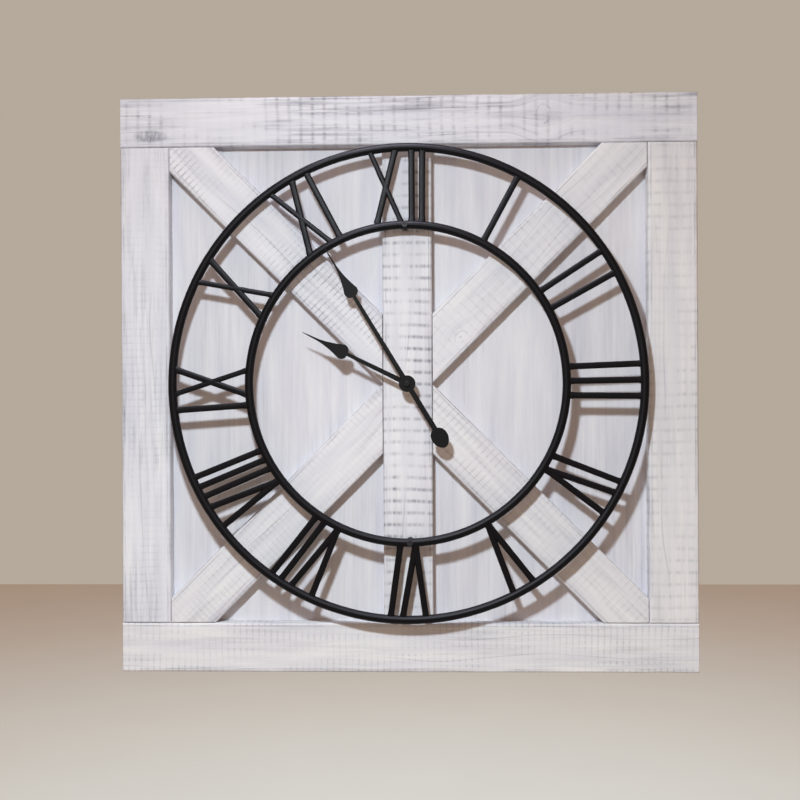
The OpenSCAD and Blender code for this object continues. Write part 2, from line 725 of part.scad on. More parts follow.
module hour_wheel() on_dial() color("#f0efe8") difference() {
    union() {
        wheel(hour_teeth, hour_module, hour_phase, hour_deep, motion_wheel_t);
        bar(main_axis, case_inside + hour_deep + motion_wheel_t,
            case_inside + hour_deep + motion_wheel_t - board_front + hour_hand_up, pipe_r);
        bar(main_axis, board_front, pipe_up, pipe_seat_r);
    }
    bar(main_axis, case_inside + 3, case_inside + 5 - board_front + pipe_up, pipe_bore_r);
}

module motion_wheel() on_dial() color("#f0efe8") translate([motion_axis[0], 0, motion_axis[1]])
    difference() {
        union() {
            wheel(motion_teeth, motion_module, motion_phase, motion_deep, motion_wheel_t);
            pinion(motion_pinion_teeth, hour_module, 0, motion_span);
        }
        arbor([0, 0], 0, 4, arbor_r + run_clear);
    }

module setting_knob() on_dial() color("#d8d8d4") translate([knob_axis[0], 0, knob_axis[1]]) {
    pinion(knob_teeth, motion_module, knob_phase, cannon_span);
    arbor([0, 0], 0.4, knob_deep + 0.5, arbor_r);
    layer(knob_deep, knob_deep + knob_t) polygon([for (i = [0:47])
        step([0, 0], i * 7.5, knob_r - (i % 2) * knurl_deep)]);
}

// ---------- going train ----------

module centre_wheel() on_dial() color("#f0efe8") difference() {
    wheel(centre_teeth, centre_module, 0, centre_deep, wheel_t);
    arbor(main_axis, centre_deep - 0.6, centre_deep + 1.4, clutch_r + run_clear);
    for (a = [45:90:315]) arbor(step([0, 0], a, window_mid), centre_deep - 0.6, centre_deep + 1.4, window_r);
}

module third_wheel() on_dial() color("#f0efe8") translate([third_axis[0], 0, third_axis[1]]) {
    wheel(third_teeth, third_module, 0, third_deep, wheel_t);
    pinion(third_pinion_teeth, centre_module, third_pinion_phase, third_span);
    arbor([0, 0], third_span[0] - 0.1, shoulder_end, arbor_r);
    arbor([0, 0], 0.8, pivot_end, pivot_r);
}

module second_wheel() on_dial() color("#f0efe8") {
    wheel(second_teeth, second_module, 0, second_deep, wheel_t);
    pinion(second_pinion_teeth, third_module, second_pinion_phase, second_span);
    arbor(main_axis, plate_deep + 0.45, second_span[0] + 0.1, pivot_r + 0.1);
    arbor(main_axis, second_deep + wheel_t - 0.1, shoulder_end, pivot_r + 0.2);
    arbor(main_axis, second_deep + wheel_t - 0.1, pivot_end, pivot_r);
}

module intermediate_wheel() on_dial() color("#f0efe8") translate([inter_axis[0], 0, inter_axis[1]]) {
    wheel(inter_teeth, rotor_module, 0, inter_deep, wheel_t);
    pinion(inter_pinion_teeth, second_module, inter_pinion_phase, inter_span);
    arbor([0, 0], plate_deep + plate_t + 0.1, shoulder_end, arbor_r);
    arbor([0, 0], plate_deep + 0.1, pivot_end, pivot_r);
}

module rotor() on_dial() color("#5a5c62") translate([rotor_axis[0], 0, rotor_axis[1]]) {
    arbor([0, 0], magnet_span[0], magnet_span[1], magnet_r);
    pinion(rotor_teeth, rotor_module, rotor_phase, rotor_span);
    arbor([0, 0], rotor_span[1] - 0.1, shoulder_end, arbor_r);
    arbor([0, 0], plate_deep + 0.1, pivot_end, pivot_r);
}

// ---------- electrics ----------

module stator() on_dial() color("#9a9ca2") difference() {
    layer(stator_deep, stator_deep + stator_t) {
        difference() {
            translate([stator_left, stator_foot])
                square([stator_right - stator_left, coil_up + stator_bar / 2 - stator_foot]);
            translate([stator_left + stator_bar, stator_foot + stator_bar])
                square([stator_right - stator_left - 1.25 * stator_bar - 1,
                        coil_up - stator_bar / 2 - stator_foot - stator_bar]);
        }
        translate(rotor_axis) circle(rotor_hole_r + 0.9);
    }
    arbor(rotor_axis, stator_deep - 1, stator_deep + 3, rotor_hole_r);
}

module coil_part(from, to, r) translate([from, case_inside + stator_deep + stator_t / 2, coil_up])
    rotate([0, 90, 0]) cylinder(h = to - from, r = r);

module coil_bobbin() on_dial() color("#f2e7c4") difference() {
    union() {
        coil_part(coil_left, coil_right, coil_tube_r);
        coil_part(coil_left, coil_left + coil_flange_t, coil_r);
        coil_part(coil_right - coil_flange_t, coil_right, coil_r);
    }
    translate([coil_left - 1, case_inside + stator_deep - 0.05, coil_up - stator_bar / 2 - 0.05])
        cube([coil_right - coil_left + 2, stator_t + 0.1, stator_bar + 0.1]);
}

module coil_winding() on_dial() color("#b5622c") difference() {
    coil_part(coil_left + coil_flange_t, coil_right - coil_flange_t, winding_r);
    coil_part(coil_left, coil_right, coil_tube_r);
}

module circuit_board() on_dial() {
    color("#2f6b45") layer(board_deep, board_deep + circuit_t) translate([board_left, board_foot])
        square([board_right - board_left, 13]);
    color("#1c1c1e") layer(board_deep - 1.2, board_deep) translate([board_left + 4, board_foot + 2.5])
        square([5, 5]);
    color("#c8cacd") translate([board_left + 4, case_inside + board_deep - 0.9, board_foot + 10.3])
        rotate([0, 90, 0]) cylinder(h = 5, r = 1);
}

module positive_contact() on_dial() color("#b9bbc0") {
    layer(2, strip_deep + strip_w) translate([half_in_w - strip_t, battery_z - 5]) square([strip_t, 10]);
    layer(strip_deep, strip_deep + strip_w) translate([half_in_w - strip_t, battery_z])
        square([strip_t, case_ceiling - battery_z]);
    layer(strip_deep, strip_deep + strip_w) translate([-21, case_ceiling - strip_t])
        square([half_in_w + 21, strip_t]);
    layer(board_deep + circuit_t, strip_deep + strip_w) translate([-21, case_ceiling - 1.6])
        square([2, 1.6]);
}

module negative_contact() on_dial() color("#b9bbc0") {
    layer(2, strip_deep + strip_w) translate([-half_in_w, battery_z - 5]) square([strip_t, 10]);
    layer(4, 10) polygon([[-half_in_w, battery_z - 5], [-half_in_w + 1, battery_z],
                          [-half_in_w + strip_t, battery_z + 4], [-half_in_w, battery_z + 4]]);
    layer(strip_deep, strip_deep + strip_w) translate([-half_in_w, battery_z])
        square([strip_t, board_foot + 2 - battery_z]);
    layer(board_deep + circuit_t, strip_deep + strip_w) translate([-half_in_w, board_foot])
        square([1.2, 2]);
}

module battery() on_dial() translate([0, case_front + case_d - battery_clear / 2 - battery_d / 2, battery_z])
    rotate([0, 90, 0]) {
        color("#3c4048") translate([0, 0, -battery_l / 2 + 0.15])
            cylinder(h = battery_l - 1.15, r = battery_d / 2);
        color("#c9cbd0") translate([0, 0, battery_l / 2 - 1.1]) cylinder(h = 1, r = 2.75);
    }

// ---------- nodes ----------

rail(1);  // top_rail
rail(-1);  // bottom_rail
stile(-1);  // left_stile
stile(1);  // right_stile
centre_board();
brace(-1, 1);  // brace_upper_left
brace(1, 1);  // brace_upper_right
brace(-1, -1);  // brace_lower_left
brace(1, -1);  // brace_lower_right
back_panel();
cleat_top();
cleat_bottom();
cleat_side(-1);  // cleat_left
cleat_side(1);  // cleat_right
frame_screws();
hanger_plate();
hanger_screws();
outer_ring();
inner_ring();
for (h = [1:12]) numeral(h);
dial_spacers();
dial_screws();
hour_hand();
minute_hand();
cap_nut();
fixing_nut();
washer();
gasket();
threaded_bush();
movement_case();
middle_plate();
rear_cover();
minute_arbor();
clutch_spring();
hour_wheel();
motion_wheel();
setting_knob();
centre_wheel();
third_wheel();
second_wheel();
intermediate_wheel();
rotor();
stator();
coil_bobbin();
coil_winding();
circuit_board();
positive_contact();
negative_contact();
battery();
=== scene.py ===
import math

import bmesh
import bpy
from mathutils import Matrix, Vector, noise


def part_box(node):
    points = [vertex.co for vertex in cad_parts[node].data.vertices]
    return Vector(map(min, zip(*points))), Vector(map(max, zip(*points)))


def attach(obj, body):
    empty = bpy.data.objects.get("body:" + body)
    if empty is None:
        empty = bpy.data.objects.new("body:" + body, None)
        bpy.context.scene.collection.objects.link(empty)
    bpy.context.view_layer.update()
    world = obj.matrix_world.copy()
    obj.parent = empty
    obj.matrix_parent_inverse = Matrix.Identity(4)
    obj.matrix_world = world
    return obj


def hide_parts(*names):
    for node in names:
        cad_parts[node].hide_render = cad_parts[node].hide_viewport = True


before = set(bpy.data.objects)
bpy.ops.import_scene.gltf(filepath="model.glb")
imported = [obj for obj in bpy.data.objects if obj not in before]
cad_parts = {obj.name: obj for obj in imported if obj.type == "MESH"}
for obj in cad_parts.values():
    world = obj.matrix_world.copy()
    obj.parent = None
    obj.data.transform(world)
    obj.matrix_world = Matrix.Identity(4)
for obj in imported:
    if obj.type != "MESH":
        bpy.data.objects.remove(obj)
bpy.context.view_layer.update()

# --- Back panel ---
# A square of painted plywood behind the frame. It shows between the boards, brushed thinly with white
# so that its vertical bristle marks stay grey-blue, and it is screwed to the cleats from behind.
MM = 0.001
dial_z = (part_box("outer_ring")[0].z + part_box("outer_ring")[1].z) / 2
panel_paint = (0.68, 0.665, 0.685, 1)
bare_stain = (0.235, 0.235, 0.275, 1)
far_from_edge = 1.0


def put(tree, kind, sockets=None, **settings):
    """Adds a shader node, with its settings, and its sockets set to values or joined to other sockets."""
    node = tree.nodes.new("ShaderNode" + kind)
    for key, value in settings.items():
        setattr(node, key, value)
    for key, value in (sockets or {}).items():
        if isinstance(value, bpy.types.NodeSocket):
            tree.links.new(value, node.inputs[key])
        else:
            node.inputs[key].default_value = value
    return node


def calc(tree, operation, a, b=0.0, c=0.0):
    """The result of one Math node."""
    return put(tree, "Math", {0: a, 1: b, 2: c}, operation=operation).outputs[0]


def remap(tree, value, low, high, to_low=0.0, to_high=1.0, kind="SMOOTHSTEP"):
    """The value moved from one range to another, held at both ends."""
    node = put(tree, "MapRange", {"Value": value}, interpolation_type=kind)
    for key, number in (("From Min", low), ("From Max", high), ("To Min", to_low), ("To Max", to_high)):
        if isinstance(number, bpy.types.NodeSocket):
            tree.links.new(number, node.inputs[key])
        else:
            node.inputs[key].default_value = number
    return node.outputs["Result"]


def blend_colours(tree, share, first, second, mode="MIX"):
    """The colour between two others, at that share."""
    node = put(tree, "Mix", data_type="RGBA", blend_type=mode)
    for key, value in ((0, share), (6, first), (7, second)):
        if isinstance(value, bpy.types.NodeSocket):
            tree.links.new(value, node.inputs[key])
        else:
            node.inputs[key].default_value = value
    return node.outputs[2]


def cloud(tree, vector, stretch, seed=0.0, detail=2.0, roughness=0.5, distortion=0.0):
    """Noise from 0 to 1, with so many features to the metre along each axis."""
    scaled = put(tree, "VectorMath", {0: vector, 1: stretch}, operation="MULTIPLY").outputs[0]
    node = put(tree, "TexNoise", {"Vector": scaled, "W": seed, "Scale": 1.0, "Detail": detail,
                                  "Roughness": roughness, "Distortion": distortion}, noise_dimensions="4D")
    return node.outputs["Fac"]


def start_group(name, inputs, outputs):
    """A node group with these named sockets, and its input and output nodes."""
    tree = bpy.data.node_groups.new(name, "ShaderNodeTree")
    for label, kind, default in inputs:
        socket = tree.interface.new_socket(label, in_out="INPUT", socket_type="NodeSocket" + kind)
        if default is not None:
            socket.default_value = default
    for label, kind in outputs:
        tree.interface.new_socket(label, in_out="OUTPUT", socket_type="NodeSocket" + kind)
    return tree, tree.nodes.new("NodeGroupInput").outputs, tree.nodes.new("NodeGroupOutput").inputs


def use_group(tree, group, sockets):
    """Places a node group in a material."""
    node = tree.nodes.new("ShaderNodeGroup")
    node.node_tree = group
    for key, value in sockets.items():
        if isinstance(value, bpy.types.NodeSocket):
            tree.links.new(value, node.inputs[key])
        else:
            node.inputs[key].default_value = value
    return node.outputs


def start_material(name, **shader_values):
    """A material with one Principled shader; returns the material, its tree and the shader."""
    material = bpy.data.materials.new(name)
    material.use_nodes = True
    tree = material.node_tree
    shader = tree.nodes["Principled BSDF"]
    for key, value in shader_values.items():
        shader.inputs[key.replace("_", " ").title().replace("Ior", "IOR")].default_value = value
    return material, tree, shader


def finish_material(tree, shader, surface, bump_mm):
    """Feeds a group's colour, roughness and height to the shader."""
    bump = put(tree, "Bump", {"Height": surface["Height"], "Distance": bump_mm * MM, "Strength": 1.0})
    tree.links.new(surface["Color"], shader.inputs["Base Color"])
    tree.links.new(surface["Roughness"], shader.inputs["Roughness"])
    tree.links.new(bump.outputs["Normal"], shader.inputs["Normal"])


def dress(nodes, material, edge_mm=0.0, rounds=2):
    """Gives CAD nodes a material and, where the real edges are broken, a small bevel."""
    for name in nodes:
        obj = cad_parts[name]
        for slot in obj.material_slots:
            slot.material = material
        if edge_mm:
            weld = obj.modifiers.new("weld", "WELD")
            weld.merge_threshold = 1e-6
            bevel = obj.modifiers.new("broken_edge", "BEVEL")
            bevel.width = edge_mm * MM
            bevel.segments = rounds
            bevel.limit_method = "ANGLE"
            bevel.angle_limit = math.radians(40)
            bevel.use_clamp_overlap = True


# Thin white paint on wood. The grain runs along X of its vector and across Z, in metres.
whitewash, get, give = start_group(
    "thin white paint",
    [("Vector", "Vector", None), ("Seed", "Float", 0.0), ("Paint", "Color", None), ("Stain", "Color", None),
     ("Saw Pitch", "Float", 0.015), ("Saw Marks", "Float", 0.0), ("Streaks", "Float", 0.3),
     ("Patches", "Float", 0.5), ("Growth Rings", "Float", 0.0), ("Bristles", "Float", 0.0),
     ("Worn Spot", "Float", 0.0), ("Edge Distance", "Float", 1.0)],
    [("Color", "Color"), ("Roughness", "Float"), ("Height", "Float")])
axes = put(whitewash, "SeparateXYZ", {0: get["Vector"]}).outputs
wander = cloud(whitewash, get["Vector"], (6, 0, 24), get["Seed"], 1.0)
saw_place = calc(whitewash, "MULTIPLY_ADD", calc(whitewash, "SUBTRACT", wander, 0.5), 0.005, axes["X"])
saw_turn = calc(whitewash, "ADD", calc(whitewash, "DIVIDE", saw_place, get["Saw Pitch"]), 0.5)
saw_phase = calc(whitewash, "FRACT", saw_turn)
saw_off = calc(whitewash, "ABSOLUTE", calc(whitewash, "SUBTRACT", saw_phase, 0.5))
saw_line = remap(whitewash, saw_off, 0.0, 0.25, 1.0, 0.0)
saw_number = put(whitewash, "CombineXYZ", {"X": calc(whitewash, "FLOOR", saw_turn)}).outputs[0]
saw_force = remap(whitewash, cloud(whitewash, saw_number, (0.73, 0, 0), get["Seed"], 0.0), 0.2, 0.5, 0.35)
dashes = cloud(whitewash, get["Vector"], (9, 60, 230), get["Seed"], 3.0, 0.62)
dashes = remap(whitewash, dashes, 0.34, 0.66, 0.1)
patch = remap(whitewash, cloud(whitewash, get["Vector"], (7, 12, 24), get["Seed"], 3.0, 0.6), 0.38, 0.6)
patch = calc(whitewash, "MULTIPLY", patch, get["Patches"])
saw = calc(whitewash, "MULTIPLY", calc(whitewash, "MULTIPLY", saw_line, dashes), saw_force)
saw = calc(whitewash, "MULTIPLY", saw, calc(whitewash, "MULTIPLY_ADD", patch, 0.85, 0.06))
saw = calc(whitewash, "MULTIPLY", saw, get["Saw Marks"])
grain = cloud(whitewash, get["Vector"], (9, 190, 190), get["Seed"], 4.0, 0.65, 0.1)
streak = remap(whitewash, grain, 0.42, 0.7)
streak = calc(whitewash, "MULTIPLY", streak, calc(whitewash, "MULTIPLY_ADD", patch, 0.8, 0.12))
streak = calc(whitewash, "MULTIPLY", streak, get["Streaks"])
bend = cloud(whitewash, get["Vector"], (2.2, 0, 6), get["Seed"], 2.0)
ring_place = calc(whitewash, "MULTIPLY_ADD", bend, 3.2, calc(whitewash, "MULTIPLY", axes["Z"], 34.0))
ring_off = calc(whitewash, "ABSOLUTE", calc(whitewash, "SUBTRACT", calc(whitewash, "FRACT", ring_place), 0.5))
ring_show = remap(whitewash, cloud(whitewash, get["Vector"], (5, 20, 22), get["Seed"], 3.0, 0.6), 0.47, 0.62)
growth = calc(whitewash, "MULTIPLY", remap(whitewash, ring_off, 0.0, 0.04, 0.4, 0.0), ring_show)
growth = calc(whitewash, "MULTIPLY", growth, get["Growth Rings"])
bristle = remap(whitewash, cloud(whitewash, get["Vector"], (4, 140, 200), get["Seed"], 4.0, 0.75), 0.42, 0.78)
bristle_patch = cloud(whitewash, get["Vector"], (4, 4, 9), get["Seed"], 3.0)
bristle_patch = remap(whitewash, bristle_patch, 0.4, 0.68, 0.15)
bristle = calc(whitewash, "MULTIPLY", calc(whitewash, "MULTIPLY", bristle, bristle_patch), get["Bristles"])
spot_hatch = cloud(whitewash, get["Vector"], (330, 90, 90), get["Seed"], 3.0, 0.7)
spot_hatch = remap(whitewash, spot_hatch, 0.35, 0.65, 0.3)
spot = calc(whitewash, "MULTIPLY", get["Worn Spot"], spot_hatch)
# The stain shows along the eased long edges, in a band at the edge and a thin line about 4 mm in, broken up by
# noise.
edge_breakup = remap(whitewash, cloud(whitewash, get["Vector"], (16, 60, 60), get["Seed"], 3.0, 0.65), 0.4, 0.62)
edge_off = calc(whitewash, "ABSOLUTE", calc(whitewash, "SUBTRACT", get["Edge Distance"], 0.0040))
edge_line = calc(whitewash, "MULTIPLY", remap(whitewash, edge_off, 0.0, 0.0016, 0.45, 0.0), edge_breakup)
edge_band = remap(whitewash, get["Edge Distance"], 0.0005, 0.0025, 0.3, 0.0)
edge_band = calc(whitewash, "MULTIPLY", edge_band, edge_breakup)
bare = calc(whitewash, "ADD", calc(whitewash, "ADD", saw, streak), calc(whitewash, "ADD", bristle, spot))
bare = calc(whitewash, "ADD", bare, growth)
bare = calc(whitewash, "ADD", bare, calc(whitewash, "ADD", edge_line, edge_band))
bare = calc(whitewash, "MINIMUM", bare, 1.0)
tone = cloud(whitewash, get["Vector"], (6, 30, 60), get["Seed"], 4.0, 0.65)
light_tone = remap(whitewash, tone, 0.3, 0.7, 0.86, 1.06, "LINEAR")
blue_tone = remap(whitewash, tone, 0.3, 0.7, 0.91, 1.045, "LINEAR")
tint = put(whitewash, "CombineColor", {"Red": light_tone, "Green": light_tone, "Blue": blue_tone}).outputs[0]
toned = blend_colours(whitewash, 1.0, get["Paint"], tint, "MULTIPLY")
whitewash.links.new(blend_colours(whitewash, bare, toned, get["Stain"]), give["Color"])
whitewash.links.new(remap(whitewash, bare, 0.0, 1.0, 0.62, 0.82, "LINEAR"), give["Roughness"])
tooth = cloud(whitewash, get["Vector"], (160, 900, 900), get["Seed"], 3.0, 0.7)
height = calc(whitewash, "MULTIPLY_ADD", bare, -0.7, calc(whitewash, "MULTIPLY", tooth, 0.45))
whitewash.links.new(calc(whitewash, "MULTIPLY_ADD", grain, 0.5, height), give["Height"])


def board_vector(tree, angle):
    """Places from the dial's middle, turned so that X runs along the grain, at that angle from +X to +Z."""
    place = put(tree, "TexCoord").outputs["Object"]
    turn = math.radians(angle)
    shift = (-dial_z * math.sin(turn), 0, -dial_z * math.cos(turn))
    return put(tree, "Mapping", {"Vector": place, "Rotation": (0, turn, 0), "Location": shift}).outputs[0]


panel_material, tree, shader = start_material("painted plywood")
surface = use_group(tree, whitewash, {
    "Vector": board_vector(tree, 90), "Seed": 3.1, "Paint": panel_paint, "Stain": bare_stain,
    "Streaks": 0.12, "Patches": 0.6, "Bristles": 0.42, "Edge Distance": far_from_edge})
finish_material(tree, shader, surface, 0.12)
dress(["back_panel"], panel_material, 0.4, 1)

# --- Cleats ---
# Four strips of bare pine screwed round the back of the panel. They stiffen it, stand the clock off
# the wall and leave room for the clock movement behind the panel.
pine_light = (0.60, 0.42, 0.24, 1)
pine_dark = (0.34, 0.19, 0.085, 1)

timber, get, give = start_group(
    "bare timber",
    [("Vector", "Vector", None), ("Seed", "Float", 0.0), ("Early Wood", "Color", None),
     ("Late Wood", "Color", None)],
    [("Color", "Color"), ("Roughness", "Float"), ("Height", "Float")])
drift = cloud(timber, get["Vector"], (2.5, 14, 14), get["Seed"], 2.0)
across = put(timber, "SeparateXYZ", {0: get["Vector"]}).outputs["Z"]
ring_turn = calc(timber, "MULTIPLY_ADD", drift, 9.0, calc(timber, "MULTIPLY", across, 150.0))
ring = calc(timber, "FRACT", ring_turn)
ring = calc(timber, "POWER", ring, 2.4)
fibre = cloud(timber, get["Vector"], (12, 900, 900), get["Seed"], 3.0, 0.7)
mark = calc(timber, "MULTIPLY_ADD", remap(timber, fibre, 0.3, 0.7), 0.35, calc(timber, "MULTIPLY", ring, 0.6))
timber.links.new(blend_colours(timber, mark, get["Early Wood"], get["Late Wood"]), give["Color"])
timber.links.new(remap(timber, mark, 0.0, 1.0, 0.6, 0.75), give["Roughness"])
height = calc(timber, "MULTIPLY_ADD", fibre, 0.6, calc(timber, "MULTIPLY", ring, 0.4))
timber.links.new(height, give["Height"])

cleats = {"cleat_top": 0, "cleat_bottom": 0, "cleat_left": 90, "cleat_right": 90}
for number, (name, angle) in enumerate(cleats.items()):
    cleat_material, tree, shader = start_material("bare pine " + name.split("_")[1])
    surface = use_group(tree, timber, {"Vector": board_vector(tree, angle), "Seed": number * 1.7,
                                       "Early Wood": pine_light, "Late Wood": pine_dark})
    finish_material(tree, shader, surface, 0.15)
    dress([name], cleat_material)

# --- Frame boards ---
# Two rails, two stiles, a centre board and four diagonal braces of rough-sawn pine, painted thin white.
# The saw left marks across each board, where the paint has worn; their long edges are eased by hand.
board_paint = (0.72, 0.715, 0.745, 1)
front_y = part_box("top_rail")[0].y / MM
back_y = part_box("top_rail")[1].y / MM
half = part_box("top_rail")[1].x / MM
board_w = (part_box("top_rail")[1].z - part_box("top_rail")[0].z) / MM
opening = half - board_w
brace_heel = 89.8
half_w = board_w / 2
side_ease = 3.2
end_ease = 1.1
joint_gap = 0.25
saw_ripple = 0.07
grain_ripple = 0.16


def brace_outline(side, up):
    """Corners of one diagonal brace: side is 1 for right or -1, up is 1 for upper or -1."""
    clipped = brace_heel - half_w
    corners = [(half_w, 0), (half_w, brace_heel), (opening - clipped, opening), (opening, opening),
               (opening, opening - half_w)]
    return [(side * x, up * z) for x, z in corners]


def straight_outline(x0, x1, z0, z1):
    return [(x0, z0), (x1, z0), (x1, z1), (x0, z1)]


# Each board: its corners from the dial's middle in mm, the angle of its grain, saw pitch in mm, then how
# strongly saw marks, streaks and worn patches show, its painted warm tint, and the seed of its pattern.
# The warm tint grows towards the lower right. It is painted light, standing in for cooler light at the upper
# left and warmer light at the lower right.
boards = {
    "top_rail": (straight_outline(-half, half, opening, half), 0, 15.0, 0.60, 0.75, 0.95, 0.0, 1.3),
    "bottom_rail": (straight_outline(-half, half, -half, -opening), 0, 8.0, 0.50, 0.40, 0.75, 0.8, 2.9),
    "left_stile": (straight_outline(-half, -opening, -opening, opening), 90, 9.0, 0.22, 0.60, 0.85, 0.2, 5.2),
    "right_stile": (straight_outline(opening, half, -opening, opening), 90, 15.0, 0.40, 0.25, 0.8, 1.0, 7.7),
    "centre_board": (straight_outline(-half_w, half_w, -opening, opening), 90, 15.0, 1.0, 0.2, 1.0, 0.5, 11.4),
    "brace_upper_left": (brace_outline(-1, 1), 135, 7.0, 0.75, 0.45, 1.0, 0.3, 13.8),
    "brace_upper_right": (brace_outline(1, 1), 45, 11.0, 0.30, 0.35, 0.6, 0.6, 17.5),
    "brace_lower_left": (brace_outline(-1, -1), 45, 7.0, 0.35, 0.45, 0.7, 0.6, 19.1),
    "brace_lower_right": (brace_outline(1, -1), 135, 8.0, 0.45, 0.35, 0.7, 0.9, 23.6),
}
grid_step = 3.0

# Knots and one rubbed patch on the top rail: their places along and across the board from the dial's
# middle, then half their length and width, in mm.
knots = {"top_rail": (174, 342, 13, 17), "brace_upper_right": (90, -6, 13, 9)}
rubbed_patch = (-329, 319, 21, 8)

knot_lines, get, give = start_group(
    "knot in a board",
    [("Vector", "Vector", None), ("Along", "Float", 0.0), ("Across", "Float", 0.0),
     ("Half Length", "Float", 0.01), ("Half Width", "Float", 0.01)],
    [("Vector", "Vector"), ("Mask", "Float")])
axes = put(knot_lines, "SeparateXYZ", {0: get["Vector"]}).outputs
knot_u = calc(knot_lines, "SUBTRACT", axes["X"], get["Along"])
knot_u = calc(knot_lines, "DIVIDE", knot_u, get["Half Length"])
knot_v = calc(knot_lines, "SUBTRACT", axes["Z"], get["Across"])
knot_v = calc(knot_lines, "DIVIDE", knot_v, get["Half Width"])
knot_d = calc(knot_lines, "MULTIPLY_ADD", knot_u, knot_u, calc(knot_lines, "MULTIPLY", knot_v, knot_v))
knot_d = calc(knot_lines, "SQRT", knot_d)
knot_bend = cloud(knot_lines, get["Vector"], (90, 90, 90), 3.0, 3.0, 0.6)
knot_d = calc(knot_lines, "MULTIPLY_ADD", knot_bend, 0.5, knot_d)
knot_ring = calc(knot_lines, "FRACT", calc(knot_lines, "MULTIPLY", knot_d, 1.6))
knot_ring = calc(knot_lines, "ABSOLUTE", calc(knot_lines, "SUBTRACT", knot_ring, 0.5))
knot_ring = remap(knot_lines, knot_ring, 0.02, 0.14, 0.75, 0.0)
knot_near = remap(knot_lines, knot_d, 1.1, 1.7, 1.0, 0.0)
knot_broken = remap(knot_lines, cloud(knot_lines, get["Vector"], (70, 70, 70), 8.0, 2.0), 0.4, 0.6, 0.15)
knot_mask = calc(knot_lines, "MULTIPLY", knot_ring, knot_near)
knot_lines.links.new(calc(knot_lines, "MULTIPLY", knot_mask, knot_broken), give["Mask"])
pull = calc(knot_lines, "MULTIPLY", knot_v, get["Half Width"])
pull = calc(knot_lines, "MULTIPLY", pull, remap(knot_lines, knot_d, 0.9, 4.0, -0.55, 0.0))
pulled = calc(knot_lines, "ADD", axes["Z"], pull)
pulled = put(knot_lines, "CombineXYZ", {"X": axes["X"], "Y": axes["Y"], "Z": pulled}).outputs[0]
knot_lines.links.new(pulled, give["Vector"])


def edge_drop(distance, radius):
    """How far a rounded edge falls away, at a distance inside it."""
    if distance >= radius:
        return 0.0
    return radius - math.sqrt(max(0.0, radius * radius - (radius - distance) ** 2))


